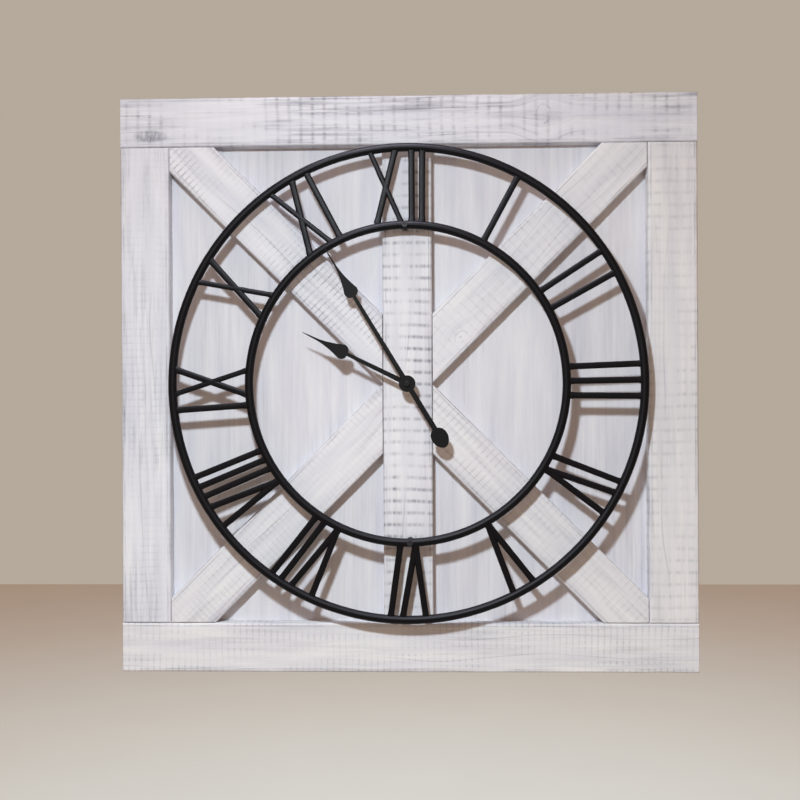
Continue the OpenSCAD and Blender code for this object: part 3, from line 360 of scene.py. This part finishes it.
def sawn_board(name, outline, angle, pitch, seed):
    """A board with rounded long edges, crisper ends and a slightly uneven sawn face, closed at the back."""
    turn = math.radians(angle)
    along = (math.cos(turn), math.sin(turn))
    local = [(x * along[0] + z * along[1], -x * along[1] + z * along[0]) for x, z in outline]
    centre_u = sum(u for u, v in local) / len(local)
    centre_v = sum(v for u, v in local) / len(local)
    edges = []
    for (u0, v0), (u1, v1) in zip(local, local[1:] + local[:1]):
        length = math.hypot(u1 - u0, v1 - v0)
        normal = ((v1 - v0) / length, -(u1 - u0) / length)
        if (centre_u - u0) * normal[0] + (centre_v - v0) * normal[1] < 0:
            normal = (-normal[0], -normal[1])
        is_side = abs(v1 - v0) < 0.01
        edges.append((u0 + normal[0] * joint_gap, v0 + normal[1] * joint_gap, normal, is_side))

    def distances(u, v):
        return [(max(0.0, (u - eu) * n[0] + (v - ev) * n[1]), is_side) for eu, ev, n, is_side in edges]

    def span(v):
        low, high = -1e9, 1e9
        for eu, ev, n, is_side in edges:
            if abs(n[0]) > 1e-6:
                u = eu - (v - ev) * n[1] / n[0]
                if n[0] > 0:
                    low = max(low, u)
                else:
                    high = min(high, u)
        return low, high

    v_low = min(v for u, v in local) + joint_gap
    v_high = max(v for u, v in local) - joint_gap
    sides = [0, 0.12, 0.4, 0.9, 1.6, 2.4, 3.3, 4.4, 6.0]
    v_lines = [v_low + d for d in sides] + [v_high - d for d in sides]
    flat_w = v_high - v_low - 2 * sides[-1]
    count = int(flat_w / grid_step)
    v_lines += [v_low + sides[-1] + flat_w * i / count for i in range(1, count)]
    v_lines += [v for u, v in local if v_low + 0.5 < v < v_high - 0.5]
    v_lines = sorted(set(round(v, 4) for v in v_lines))
    ends = [0, 0.12, 0.35, 0.7, 1.1, 1.8, 3.0]
    u_low, u_high = span((v_low + v_high) / 2)
    middle = int((u_high - u_low - 2 * ends[-1]) / grid_step)
    rows = []
    for v in v_lines:
        low, high = span(v)
        flat_l = high - low - 2 * ends[-1]
        row = [low + d for d in ends]
        row += [low + ends[-1] + flat_l * i / middle for i in range(1, middle)]
        row += [high - d for d in reversed(ends)]
        rows.append([(u, v) for u in row])

    points, faces, nearest = [], [], []
    for row in rows:
        for u, v in row:
            drop, side_distance = 0.0, 99.0
            rough = noise.noise(Vector((u / 38, v / 9, seed)))
            for distance, is_side in distances(u, v):
                ease = side_ease * (1 + 0.35 * rough) if is_side else end_ease
                drop = max(drop, edge_drop(distance, ease))
                if is_side:
                    side_distance = min(side_distance, distance)
            inner = min(1.0, side_distance / 4)
            ripple = saw_ripple * (1 + math.cos(2 * math.pi * u / pitch)) * inner
            lines = grain_ripple * (0.5 + 0.5 * noise.noise(Vector((u / 60, v / 2.2, seed + 5))))
            y = front_y + drop + (ripple + lines) * inner
            points.append((u * along[0] - v * along[1], y, u * along[1] + v * along[0]))
            nearest.append(side_distance * MM)
    wide = len(rows[0])
    for r in range(len(rows) - 1):
        for c in range(wide - 1):
            a = r * wide + c
            faces.append((a, a + 1, a + wide + 1, a + wide))
    rim = [c for c in range(wide)] + [r * wide + wide - 1 for r in range(1, len(rows))]
    rim += [(len(rows) - 1) * wide + c for c in range(wide - 2, -1, -1)]
    rim += [r * wide for r in range(len(rows) - 2, 0, -1)]
    foot = len(points)
    for index in rim:
        x, y, z = points[index]
        points.append((x, back_y - 0.02, z))
        nearest.append(0.0)
    for i in range(len(rim)):
        j = (i + 1) % len(rim)
        faces.append((rim[j], rim[i], foot + i, foot + j))
    faces.append([foot + i for i in range(len(rim))])

    mesh = bpy.data.meshes.new(name + "_sawn")
    mesh.from_pydata([(x * MM, y * MM, z * MM + dial_z) for x, y, z in points], [], faces)
    edge = mesh.attributes.new("edge_distance", "FLOAT", "POINT")
    edge.data.foreach_set("value", nearest)
    mesh.update()
    board = bpy.data.objects.new(name + "_sawn", mesh)
    bpy.context.scene.collection.objects.link(board)
    face_out(board)
    mesh.shade_smooth()
    mesh.set_sharp_from_angle(angle=math.radians(50))
    return board


def face_out(obj):
    """Turns every face of a closed mesh outwards."""
    shape = bmesh.new()
    shape.from_mesh(obj.data)
    bmesh.ops.recalc_face_normals(shape, faces=shape.faces)
    shape.to_mesh(obj.data)
    shape.free()


for name, (outline, angle, pitch, saw_share, streaks, patches, warm_light_tint, seed) in boards.items():
    board = sawn_board(name, outline, angle, pitch, seed)
    board_material, tree, shader = start_material("whitewashed pine " + name)
    grain_vector = board_vector(tree, angle)
    edge = put(tree, "Attribute", attribute_name="edge_distance").outputs["Fac"]
    # Painted light: the board's warm tint makes the paint redder and less blue, as if lit by warmer light.
    paint = (board_paint[0] + 0.012 * warm_light_tint, board_paint[1], board_paint[2] - 0.035 * warm_light_tint, 1)
    worn_spot = 0.0
    if name in knots:
        middle_u, middle_v, half_u, half_v = (value * MM for value in knots[name])
        knot = use_group(tree, knot_lines, {"Vector": grain_vector, "Along": middle_u, "Across": middle_v,
                                            "Half Length": half_u, "Half Width": half_v})
        grain_vector, worn_spot = knot["Vector"], knot["Mask"]
    if name == "top_rail":
        patch_u, patch_v, patch_l, patch_w = (value * MM for value in rubbed_patch)
        offset = {0: board_vector(tree, angle), 1: (patch_u, 0, patch_v)}
        offset = put(tree, "VectorMath", offset, operation="SUBTRACT").outputs[0]
        offset = {0: offset, 1: (1 / patch_l, 0, 1 / patch_w)}
        offset = put(tree, "VectorMath", offset, operation="MULTIPLY").outputs[0]
        from_patch = put(tree, "VectorMath", {0: offset}, operation="LENGTH").outputs["Value"]
        worn_spot = calc(tree, "ADD", worn_spot, remap(tree, from_patch, 0.6, 1.25, 0.75, 0.0))
    surface = use_group(tree, whitewash, {
        "Vector": grain_vector, "Seed": seed, "Paint": paint, "Stain": bare_stain, "Saw Pitch": pitch * MM,
        "Saw Marks": saw_share, "Streaks": streaks, "Patches": patches, "Growth Rings": 0.8,
        "Worn Spot": worn_spot, "Edge Distance": edge})
    finish_material(tree, shader, surface, 0.25)
    board.data.materials.append(board_material)
    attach(board, "clock")
    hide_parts(name)

# --- Screws of the frame and the hanger ---
# Zinc-plated steel pan-head screws hold the cleats and the panel, and two more hold the slotted
# steel hanger plate, whose keyhole hooks over a nail in the wall.
zinc = (0.55, 0.56, 0.57, 1)

worn_metal, get, give = start_group(
    "worn metal",
    [("Vector", "Vector", None), ("Seed", "Float", 0.0), ("Metal", "Color", None), ("Tarnish", "Color", None),
     ("Gloss", "Float", 0.35), ("Brushing", "Float", 0.3)],
    [("Color", "Color"), ("Roughness", "Float"), ("Height", "Float")])
spots = cloud(worn_metal, get["Vector"], (320, 320, 320), get["Seed"], 4.0, 0.65)
lines = cloud(worn_metal, get["Vector"], (160, 160, 4200), get["Seed"], 2.0, 0.6)
dull = remap(worn_metal, spots, 0.42, 0.7)
worn_metal.links.new(blend_colours(worn_metal, dull, get["Metal"], get["Tarnish"]), give["Color"])
rough = calc(worn_metal, "MULTIPLY_ADD", dull, 0.22, get["Gloss"])
worn_metal.links.new(calc(worn_metal, "MULTIPLY_ADD", lines, 0.1, rough), give["Roughness"])
brushed = calc(worn_metal, "MULTIPLY", lines, get["Brushing"])
worn_metal.links.new(calc(worn_metal, "MULTIPLY_ADD", spots, 0.3, brushed), give["Height"])


def metal_material(name, metal, tarnish, gloss, brushing, seed, bump_mm=0.03):
    material, tree, shader = start_material(name, metallic=1.0)
    place = put(tree, "TexCoord").outputs["Object"]
    surface = use_group(tree, worn_metal, {"Vector": place, "Seed": seed, "Metal": metal, "Tarnish": tarnish,
                                           "Gloss": gloss, "Brushing": brushing})
    finish_material(tree, shader, surface, bump_mm)
    return material


zinc_material = metal_material("zinc plate", zinc, (0.36, 0.37, 0.39, 1), 0.3, 0.4, 2.2)
dress(["frame_screws", "hanger_screws"], zinc_material, 0.2)
dress(["hanger_plate"], zinc_material, 0.35)

# --- Dial rings ---
# Two round steel bars bent into hoops, welded shut and coated satin black. They stand off the boards
# on two spacers, and every numeral is welded between them.
iron = (0.0028, 0.0025, 0.0036, 1)
# Dust colour for the black steel. It also serves as a painted highlight: the tops are lighter and bluer, as if
# lit from above.
iron_dust_and_top_highlight = (0.014, 0.013, 0.018, 1)
bar_r = (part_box("outer_ring")[1].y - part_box("outer_ring")[0].y) / MM / 2
ring_y = (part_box("outer_ring")[1].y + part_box("outer_ring")[0].y) / MM / 2
ring_steps = 288
bar_steps = 22
hand_bend = 0.12

satin_coat, get, give = start_group(
    "satin black coat",
    [("Vector", "Vector", None), ("Seed", "Float", 0.0), ("Coat", "Color", None), ("Dust And Highlight", "Color", None),
     ("Gloss", "Float", 0.42)],
    [("Color", "Color"), ("Roughness", "Float"), ("Height", "Float")])
orange_peel = cloud(satin_coat, get["Vector"], (700, 700, 700), get["Seed"], 3.0, 0.6)
blotch = cloud(satin_coat, get["Vector"], (60, 60, 60), get["Seed"], 3.0, 0.6)
# Faces that point up blend toward the dust colour. This is partly settled dust and partly a painted highlight
# where light from above falls on the tops.
up = put(satin_coat, "SeparateXYZ", {0: put(satin_coat, "NewGeometry").outputs["Normal"]}).outputs["Z"]
lying = remap(satin_coat, up, 0.2, 1.0)
dust_and_highlight_share = calc(satin_coat, "MULTIPLY", lying, remap(satin_coat, blotch, 0.3, 0.7, 0.3, 0.8))
satin_coat.links.new(blend_colours(satin_coat, dust_and_highlight_share, get["Coat"], get["Dust And Highlight"]), give["Color"])
gloss = calc(satin_coat, "MULTIPLY_ADD", blotch, 0.14, get["Gloss"])
satin_coat.links.new(calc(satin_coat, "MULTIPLY_ADD", dust_and_highlight_share, 0.12, gloss), give["Roughness"])
satin_coat.links.new(orange_peel, give["Height"])


def coat_material(name, coat, dust_and_highlight_colour, gloss, seed, bump_mm=0.08, specular=0.15):
    material, tree, shader = start_material(name)
    shader.inputs["Specular IOR Level"].default_value = specular
    place = put(tree, "TexCoord").outputs["Object"]
    surface = use_group(tree, satin_coat, {"Vector": place, "Seed": seed, "Coat": coat, "Dust And Highlight": dust_and_highlight_colour,
                                           "Gloss": gloss})
    finish_material(tree, shader, surface, bump_mm)
    return material


iron_material = coat_material("satin black iron", iron, iron_dust_and_top_highlight, 0.36, 4.0)


def tube_mesh(name, rings, closed):
    """A mesh through rings of points, joined end to end if closed and capped if not."""
    wide = len(rings[0])
    points = [p for ring in rings for p in ring]
    faces = []
    for r in range(len(rings) if closed else len(rings) - 1):
        s = (r + 1) % len(rings)
        for c in range(wide):
            d = (c + 1) % wide
            faces.append((r * wide + c, r * wide + d, s * wide + d, s * wide + c))
    if not closed:
        faces.append([c for c in range(wide)])
        faces.append([(len(rings) - 1) * wide + c for c in range(wide - 1, -1, -1)])
    mesh = bpy.data.meshes.new(name)
    mesh.from_pydata([tuple(v * MM for v in p) for p in points], [], faces)
    obj = bpy.data.objects.new(name, mesh)
    bpy.context.scene.collection.objects.link(obj)
    face_out(obj)
    mesh.shade_smooth()
    mesh.set_sharp_from_angle(angle=math.radians(60))
    return obj


for name in ("outer_ring", "inner_ring"):
    radius = (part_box(name)[1].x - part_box(name)[0].x) / MM / 2 - bar_r
    rings = []
    for i in range(ring_steps):
        a = 2 * math.pi * i / ring_steps
        wobble = hand_bend * noise.noise(Vector((math.cos(a) * 2.5, math.sin(a) * 2.5, radius)))
        section = []
        for j in range(bar_steps):
            b = 2 * math.pi * j / bar_steps
            thick = bar_r * (0.985 - 0.02 * noise.noise(Vector((math.cos(a) * 9, math.sin(a) * 9, b))))
            r = radius + wobble + thick * math.cos(b)
            section.append((r * math.sin(a), ring_y + thick * math.sin(b), dial_z / MM + r * math.cos(a)))
        rings.append(section)
    hoop = tube_mesh(name + "_bar", rings, True)
    hoop.data.materials.append(iron_material)
    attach(hoop, "clock")
    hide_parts(name)

# --- Numerals ---
# Roman hours, tops outward, cut from flat steel bar and welded between the two rings. Each bar's
# corners are rounded, and it swells into a small weld where it meets a ring.
stroke_w = 8.0
light_w = 6.6
numeral_t = (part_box("numeral_1")[1].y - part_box("numeral_1")[0].y) / MM
words = ["I", "II", "III", "IV", "V", "VI", "VII", "VIII", "IX", "X", "XI", "XII"]
# Degrees that the whole dial and each numeral are turned off true, then the steps from one letter to
# the next, at the top and at the foot, in mm.
dial_turn = -0.7
nudge = [-0.9, -0.3, 0, 0, 1.2, 0.7, 0.9, 0.2, -0.5, 0, 0.2, -1.8]
beside_v = (30, 19)
beside_x = (36.5, 28.5)
beside_i = (13.7, 12.7)
in_three = (20.3, 18)
in_two = (32, 25.3)
# How far a letter's bars lie either side of its middle, at the top and at the foot.
reach = {"V": (14.7, 0), "X": (16, 15.2), "I": (0, 0)}
ring_in_r = (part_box("outer_ring")[1].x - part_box("outer_ring")[0].x) / MM / 2 - 2 * bar_r
ring_out_r = (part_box("inner_ring")[1].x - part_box("inner_ring")[0].x) / MM / 2
weld_l = 5.0
weld_swell = 0.12
corner = 2.1


def letter_gap(word, i):
    """Distance from one letter to the next, at the top and at the foot."""
    pair = word[i] + word[i + 1]
    if word in ("II", "III"):
        return in_two if word == "II" else in_three
    return beside_v if "V" in pair else beside_x if "X" in pair else beside_i


def strokes(word):
    """Each bar of a numeral as its middle at the top, its middle at the foot and its width."""
    middles = [(0.0, 0.0)]
    for i in range(len(word) - 1):
        gap = letter_gap(word, i)
        middles.append((middles[-1][0] + gap[0], middles[-1][1] + gap[1]))
    centre = [(middles[-1][k] + reach[word[-1]][k] - reach[word[0]][k]) / 2 for k in (0, 1)]
    bars = []
    for letter, (top, foot) in zip(word, middles):
        top, foot = top - centre[0], foot - centre[1]
        spread, heel = reach[letter]
        if letter == "I":
            bars.append((top, foot, stroke_w))
        elif letter == "V":
            bars += [(top - spread, foot - heel, stroke_w), (top + spread, foot + heel, stroke_w)]
        else:
            bars += [(top - spread, foot + heel, light_w), (top + spread, foot - heel, stroke_w)]
    return bars


def bar_section(wide, thick):
    """A rounded rectangle round (0, 0), as pairs of numbers."""
    section = []
    for cx, cz, start in ((1, 1, 0), (-1, 1, 90), (-1, -1, 180), (1, -1, 270)):
        for k in range(5):
            a = math.radians(start + 22.5 * k)
            section.append((cx * (wide / 2 - corner) + corner * math.cos(a),
                            cz * (thick / 2 - corner) + corner * math.sin(a)))
    return section


for hour, word in enumerate(words, start=1):
    turn = math.radians(hour * 30 + dial_turn + nudge[hour - 1])
    bars = []
    for number, (top, foot, wide) in enumerate(strokes(word)):
        start = Vector((foot, ring_out_r - wide * 0.35))
        end = Vector((top, ring_in_r + wide * 0.35))
        way = (end - start).normalized()
        length = (end - start).length
        side = Vector((way.y, -way.x))
        inset = wide * 0.4
        weld_stations = [0, inset, inset + 1.2, inset + 3, inset + weld_l]
        middle = [length * k / 6 for k in range(1, 6)]
        stations = weld_stations + [m for m in middle if weld_stations[-1] < m < length - weld_stations[-1]]
        stations += [length - s for s in reversed(weld_stations)]
        rings = []
        for s in stations:
            from_ring = max(0.0, min(s, length - s) - inset)
            grow = 1 + weld_swell * max(0.0, 1 - from_ring / weld_l) ** 2
            centre = start + way * s
            ring = []
            for across, deep in bar_section(wide * grow, numeral_t * min(grow, 1.08)):
                flat = centre + side * across
                x = flat.x * math.cos(turn) + flat.y * math.sin(turn)
                z = -flat.x * math.sin(turn) + flat.y * math.cos(turn)
                ring.append((x, ring_y + deep + 0.02 * number, dial_z / MM + z))
            rings.append(ring)
        bars.append(tube_mesh("bar", rings, False))
    with bpy.context.temp_override(active_object=bars[0], selected_editable_objects=bars):
        bpy.ops.object.join()
    numeral = bars[0]
    numeral.name = "numeral_%d_bars" % hour
    numeral.data.materials.append(iron_material)
    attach(numeral, "clock")
    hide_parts("numeral_%d" % hour)

# --- Dial spacers and screws ---
# Two short black steel tubes keep the inner ring off the centre board, and black screws through
# the ring and the tubes hold the dial.
dress(["dial_spacers"], iron_material, 0.3)
screw_black = coat_material("black screw steel", (0.03, 0.03, 0.034, 1), (0.09, 0.09, 0.1, 1), 0.2, 6.0, 0.03)
dress(["dial_screws"], screw_black, 0.2)

# --- Movement case ---
# The quartz movement's moulded black box clips together round its wheels. It has a bay for one
# cell at the bottom, and a cover over the gear train with the setting knob in its well.
case_black = (0.020, 0.020, 0.022, 1)

moulded, get, give = start_group(
    "moulded plastic",
    [("Vector", "Vector", None), ("Seed", "Float", 0.0), ("Plastic", "Color", None), ("Scuff", "Color", None),
     ("Gloss", "Float", 0.4)],
    [("Color", "Color"), ("Roughness", "Float"), ("Height", "Float")])
spark = cloud(moulded, get["Vector"], (2600, 2600, 2600), get["Seed"], 2.0, 0.6)
flow = cloud(moulded, get["Vector"], (70, 70, 70), get["Seed"], 3.0, 0.5)
scuffed = remap(moulded, flow, 0.4, 0.7, 0.1, 0.6)
scuffed = calc(moulded, "MULTIPLY", remap(moulded, spark, 0.55, 0.75), scuffed)
moulded.links.new(blend_colours(moulded, scuffed, get["Plastic"], get["Scuff"]), give["Color"])
moulded.links.new(calc(moulded, "MULTIPLY_ADD", flow, 0.2, get["Gloss"]), give["Roughness"])
moulded.links.new(spark, give["Height"])


def plastic_material(name, plastic, scuff, gloss, seed, bump_mm=0.03, **shader_values):
    material, tree, shader = start_material(name, **shader_values)
    place = put(tree, "TexCoord").outputs["Object"]
    surface = use_group(tree, moulded, {"Vector": place, "Seed": seed, "Plastic": plastic, "Scuff": scuff,
                                        "Gloss": gloss})
    finish_material(tree, shader, surface, bump_mm)
    return material


case_material = plastic_material("moulded case", case_black, (0.06, 0.06, 0.065, 1), 0.38, 8.0)
dress(["movement_case"], case_material, 0.3)
dress(["rear_cover"], case_material, 0.2)
plate_material = plastic_material("moulded inner plate", (0.78, 0.78, 0.74, 1), (0.7, 0.7, 0.66, 1), 0.4, 9.0)
dress(["middle_plate"], plate_material, 0.1)

# --- Gasket, bush, washer and nut ---
# A rubber pad between the movement and the panel, and the threaded brass bush that comes through
# the centre board, where a washer and a hexagon nut clamp the movement in place.
rubber = plastic_material("gasket rubber", (0.018, 0.018, 0.018, 1), (0.05, 0.05, 0.05, 1), 0.7, 10.0, 0.05)
dress(["gasket"], rubber, 0.15)
brass_material = metal_material("brass", (0.70, 0.47, 0.19, 1), (0.42, 0.27, 0.11, 1), 0.22, 0.3, 12.0)
dress(["washer", "fixing_nut"], brass_material, 0.2)
dress(["threaded_bush"], brass_material)

# --- Wheels of the movement ---
# Natural and tinted nylon wheels moulded with their pinions, each on its own axis between the
# plates, from the stepping rotor to the two wheels that carry the hands.
nylon = plastic_material("natural nylon", (0.62, 0.58, 0.48, 1), (0.72, 0.69, 0.6, 1), 0.35, 14.0, 0.02,
                         subsurface_weight=0.15)
dress([kind + "_wheel" for kind in ("hour", "motion", "centre", "third", "second", "intermediate")], nylon)
knob_material = plastic_material("knob plastic", (0.66, 0.66, 0.63, 1), (0.75, 0.75, 0.72, 1), 0.35, 15.0)
dress(["setting_knob"], knob_material, 0.12)
dress(["minute_arbor"], brass_material)

# --- Motor, coil and contacts ---
# The stepping motor: a magnet turns between the steel poles of a stator, driven by a coil of fine
# copper wire on a plastic bobbin, from a small circuit board with a sprung contact at each end.
steel_material = metal_material("spring steel", (0.52, 0.52, 0.53, 1), (0.38, 0.38, 0.4, 1), 0.28, 0.4, 17.0)
dress(["stator", "clutch_spring", "positive_contact", "negative_contact"], steel_material, 0.05, 1)
dress(["rotor"], coat_material("magnet", (0.05, 0.05, 0.055, 1), (0.1, 0.1, 0.1, 1), 0.4, 18.0, 0.02))
bobbin_material = plastic_material("bobbin plastic", (0.80, 0.72, 0.50, 1), (0.85, 0.79, 0.62, 1), 0.4, 19.0)
dress(["coil_bobbin"], bobbin_material)

turns_per_m = 6200
copper_material, tree, shader = start_material("wound copper wire", metallic=1.0)
place = put(tree, "TexCoord").outputs["Object"]
along_coil = put(tree, "SeparateXYZ", {0: place}).outputs["X"]
# Each turn of wire is painted lighter along its crest and darker in the groove between turns: a painted
# highlight and painted shade, broken up by noise.
wire = calc(tree, "SINE", calc(tree, "MULTIPLY", along_coil, turns_per_m * 2 * math.pi))
wire = remap(tree, wire, -1.0, 1.0)
highlight_breakup = cloud(tree, place, (300, 300, 300), 2.0, 2.0)
painted_wire_highlight = calc(tree, "MULTIPLY", wire, highlight_breakup)
colour = blend_colours(tree, painted_wire_highlight, (0.32, 0.09, 0.03, 1), (0.78, 0.30, 0.11, 1))
tree.links.new(colour, shader.inputs["Base Color"])
tree.links.new(remap(tree, wire, 0.0, 1.0, 0.45, 0.25), shader.inputs["Roughness"])
bump = put(tree, "Bump", {"Height": wire, "Distance": 0.04 * MM})
tree.links.new(bump.outputs["Normal"], shader.inputs["Normal"])
dress(["coil_winding"], copper_material)

board_material, tree, shader = start_material("circuit board")
place = put(tree, "TexCoord").outputs["Object"]
tracks = put(tree, "TexVoronoi", {"Vector": place, "Scale": 420.0}, distance="CHEBYCHEV",
             feature="DISTANCE_TO_EDGE")
track = remap(tree, tracks.outputs["Distance"], 0.06, 0.12)
weave = cloud(tree, place, (2500, 2500, 2500), 1.0, 2.0)
green = blend_colours(tree, weave, (0.03, 0.13, 0.05, 1), (0.05, 0.2, 0.08, 1))
tree.links.new(blend_colours(tree, track, (0.25, 0.3, 0.12, 1), green), shader.inputs["Base Color"])
tree.links.new(remap(tree, weave, 0.2, 0.8, 0.3, 0.5), shader.inputs["Roughness"])
bump = put(tree, "Bump", {"Height": track, "Distance": 0.03 * MM})
tree.links.new(bump.outputs["Normal"], shader.inputs["Normal"])
dress(["circuit_board"], board_material)

# --- Cell ---
# One AA cell in the bay below the movement, in a plain printed jacket: dark body, one bright band
# at the end with the raised contact, and bare steel ends.
cell_low, cell_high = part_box("battery")
band_l = 0.011
cap_l = 0.0012
jacket_material, tree, shader = start_material("cell jacket", coat_weight=0.3, coat_roughness=0.15)
place = put(tree, "TexCoord").outputs["Object"]
along_cell = put(tree, "SeparateXYZ", {0: place}).outputs["X"]
band = calc(tree, "GREATER_THAN", along_cell, cell_high.x - band_l)
tin_right = calc(tree, "GREATER_THAN", along_cell, cell_high.x - cap_l * 1.6)
tin_left = calc(tree, "LESS_THAN", along_cell, cell_low.x + cap_l * 0.5)
tin = calc(tree, "MAXIMUM", tin_right, tin_left)
speck = cloud(tree, place, (900, 900, 900), 5.0, 3.0)
jacket = blend_colours(tree, band, (0.05, 0.06, 0.08, 1), (0.30, 0.31, 0.33, 1))
jacket = blend_colours(tree, remap(tree, speck, 0.45, 0.8, 0.0, 0.25), jacket, (0.12, 0.12, 0.12, 1))
tree.links.new(blend_colours(tree, tin, jacket, (0.6, 0.6, 0.6, 1)), shader.inputs["Base Color"])
tree.links.new(tin, shader.inputs["Metallic"])
tree.links.new(remap(tree, speck, 0.3, 0.7, 0.25, 0.4), shader.inputs["Roughness"])
bump = put(tree, "Bump", {"Height": speck, "Distance": 0.01 * MM})
tree.links.new(bump.outputs["Normal"], shader.inputs["Normal"])
dress(["battery"], jacket_material)

# --- Hands and cap nut ---
# Spade hands stamped from thin steel sheet and painted black, pressed on the hour pipe and on the
# minute arbor, with a round-headed nut over the arbor's end.
hand_material = coat_material("black hand paint", (0.006, 0.006, 0.006, 1), (0.02, 0.02, 0.022, 1), 0.5,
                              21.0, 0.02, 0.12)
dress(["hour_hand", "minute_hand"], hand_material, 0.22, 2)
nut_material = coat_material("black cap nut", (0.02, 0.02, 0.022, 1), (0.07, 0.07, 0.08, 1), 0.16, 22.0, 0.02)
dress(["cap_nut"], nut_material)

# --- Room ---
# A plain pale floor well below the clock, which hangs at eye height. A small lamp close in front throws
# the shadows of the black steel on the boards, and wide lamps light the floor and the sides.
floor_z = -1.75
floor_size = 14.0
floor_mesh = bpy.data.meshes.new("floor")
edge = floor_size / 2
floor_corners = [(x * edge, y * edge, floor_z) for x, y in ((-1, -1), (1, -1), (1, 1), (-1, 1))]
floor_mesh.from_pydata(floor_corners, [], [(0, 1, 2, 3)])
floor = bpy.data.objects.new("floor", floor_mesh)
bpy.context.scene.collection.objects.link(floor)
floor_material, tree, shader = start_material("pale floor")
place = put(tree, "TexCoord").outputs["Object"]
mottle = cloud(tree, place, (3, 3, 3), 0.0, 3.0)
pale = blend_colours(tree, mottle, (0.78, 0.72, 0.64, 1), (0.82, 0.76, 0.68, 1))
tree.links.new(pale, shader.inputs["Base Color"])
shader.inputs["Roughness"].default_value = 0.8
floor.data.materials.append(floor_material)


def lamp(name, place, aim, radius, power, colour, falloff="Quadratic"):
    """A round soft lamp at a place in metres from the dial's middle, turned to another."""
    data = bpy.data.lights.new(name, "AREA")
    data.shape = "DISK"
    data.size = 2 * radius
    data.energy = power
    data.color = colour
    data.use_nodes = True
    tree = data.node_tree
    strength = put(tree, "LightFalloff", {"Strength": 1.0}).outputs[falloff]
    tree.links.new(strength, tree.nodes["Emission"].inputs["Strength"])
    light = bpy.data.objects.new(name, data)
    light.location = (place[0], place[1], place[2] + dial_z)
    light.rotation_euler = (Vector(aim) - Vector(place)).to_track_quat("-Z", "Y").to_euler()
    bpy.context.scene.collection.objects.link(light)
    return light


# The key lamp is as strong far away as near, and leaves the floor out. The room lamp lights only the
# floor, and the sheen lamp shows only in reflections.
key = lamp("key", (-0.158, -0.90, 0.445), (-0.1, 0, -0.85), 0.045, 10.5, (0.79, 0.90, 0.98), "Constant")
unlit = bpy.data.collections.new("unlit by the key lamp")
unlit.objects.link(floor)
key.light_linking.receiver_collection = unlit
unlit.collection_objects[0].light_linking.link_state = "EXCLUDE"
room = lamp("room", (0, 1.5, 3.0), (0, 1.5, -1.4), 1.5, 170, (0.62, 0.85, 1.0))
room.light_linking.receiver_collection = bpy.data.collections.new("lit by the room lamp")
room.light_linking.receiver_collection.objects.link(floor)
lamp("window", (-1.3, -1.1, 1.0), (0, 0, 0), 0.35, 0.5, (0.6, 0.78, 1.0))
sheen = lamp("sheen", (-0.1, -0.35, 0.78), (0, 0, 0.2), 0.2, 11, (0.84, 0.80, 1.0))
sheen.visible_diffuse = False

world = bpy.data.worlds.new("room")
bpy.context.scene.world = world
world.use_nodes = True
tree = world.node_tree
tree.nodes.clear()
ambient = put(tree, "Background", {"Color": (0.40, 0.275, 0.20, 1), "Strength": 1.0})
seen = put(tree, "Background", {"Color": (0.46, 0.40, 0.33, 1), "Strength": 1.0})
mix = put(tree, "MixShader", {0: put(tree, "LightPath").outputs["Is Camera Ray"]})
tree.links.new(ambient.outputs[0], mix.inputs[1])
tree.links.new(seen.outputs[0], mix.inputs[2])
tree.links.new(mix.outputs[0], put(tree, "OutputWorld").inputs["Surface"])
bpy.context.scene.view_settings.view_transform = "Standard"

# --- Camera ---
# At eye height, a little right of the dial's middle, a metre and a half away.
camera_place = Vector((0.0368, -1.5, -0.0171 + dial_z))
yaw, pitch, roll = (math.radians(a) for a in (-1.835, -0.135, -0.275))
ahead = Vector((math.sin(yaw) * math.cos(pitch), math.cos(yaw) * math.cos(pitch), math.sin(pitch)))
right = Vector((math.cos(yaw), -math.sin(yaw), 0))
top = right.cross(ahead)
turned_right = right * math.cos(roll) + top * math.sin(roll)
turned_top = top * math.cos(roll) - right * math.sin(roll)
camera_data = bpy.data.cameras.new("camera")
camera_data.lens = 51.42
camera_data.sensor_width = 36
camera = bpy.data.objects.new("camera", camera_data)
bpy.context.scene.collection.objects.link(camera)
axes = Matrix((turned_right, turned_top, -ahead)).transposed()
camera.matrix_world = Matrix.Translation(camera_place) @ axes.to_4x4()
bpy.context.scene.camera = camera

bpy.context.view_layer.update()
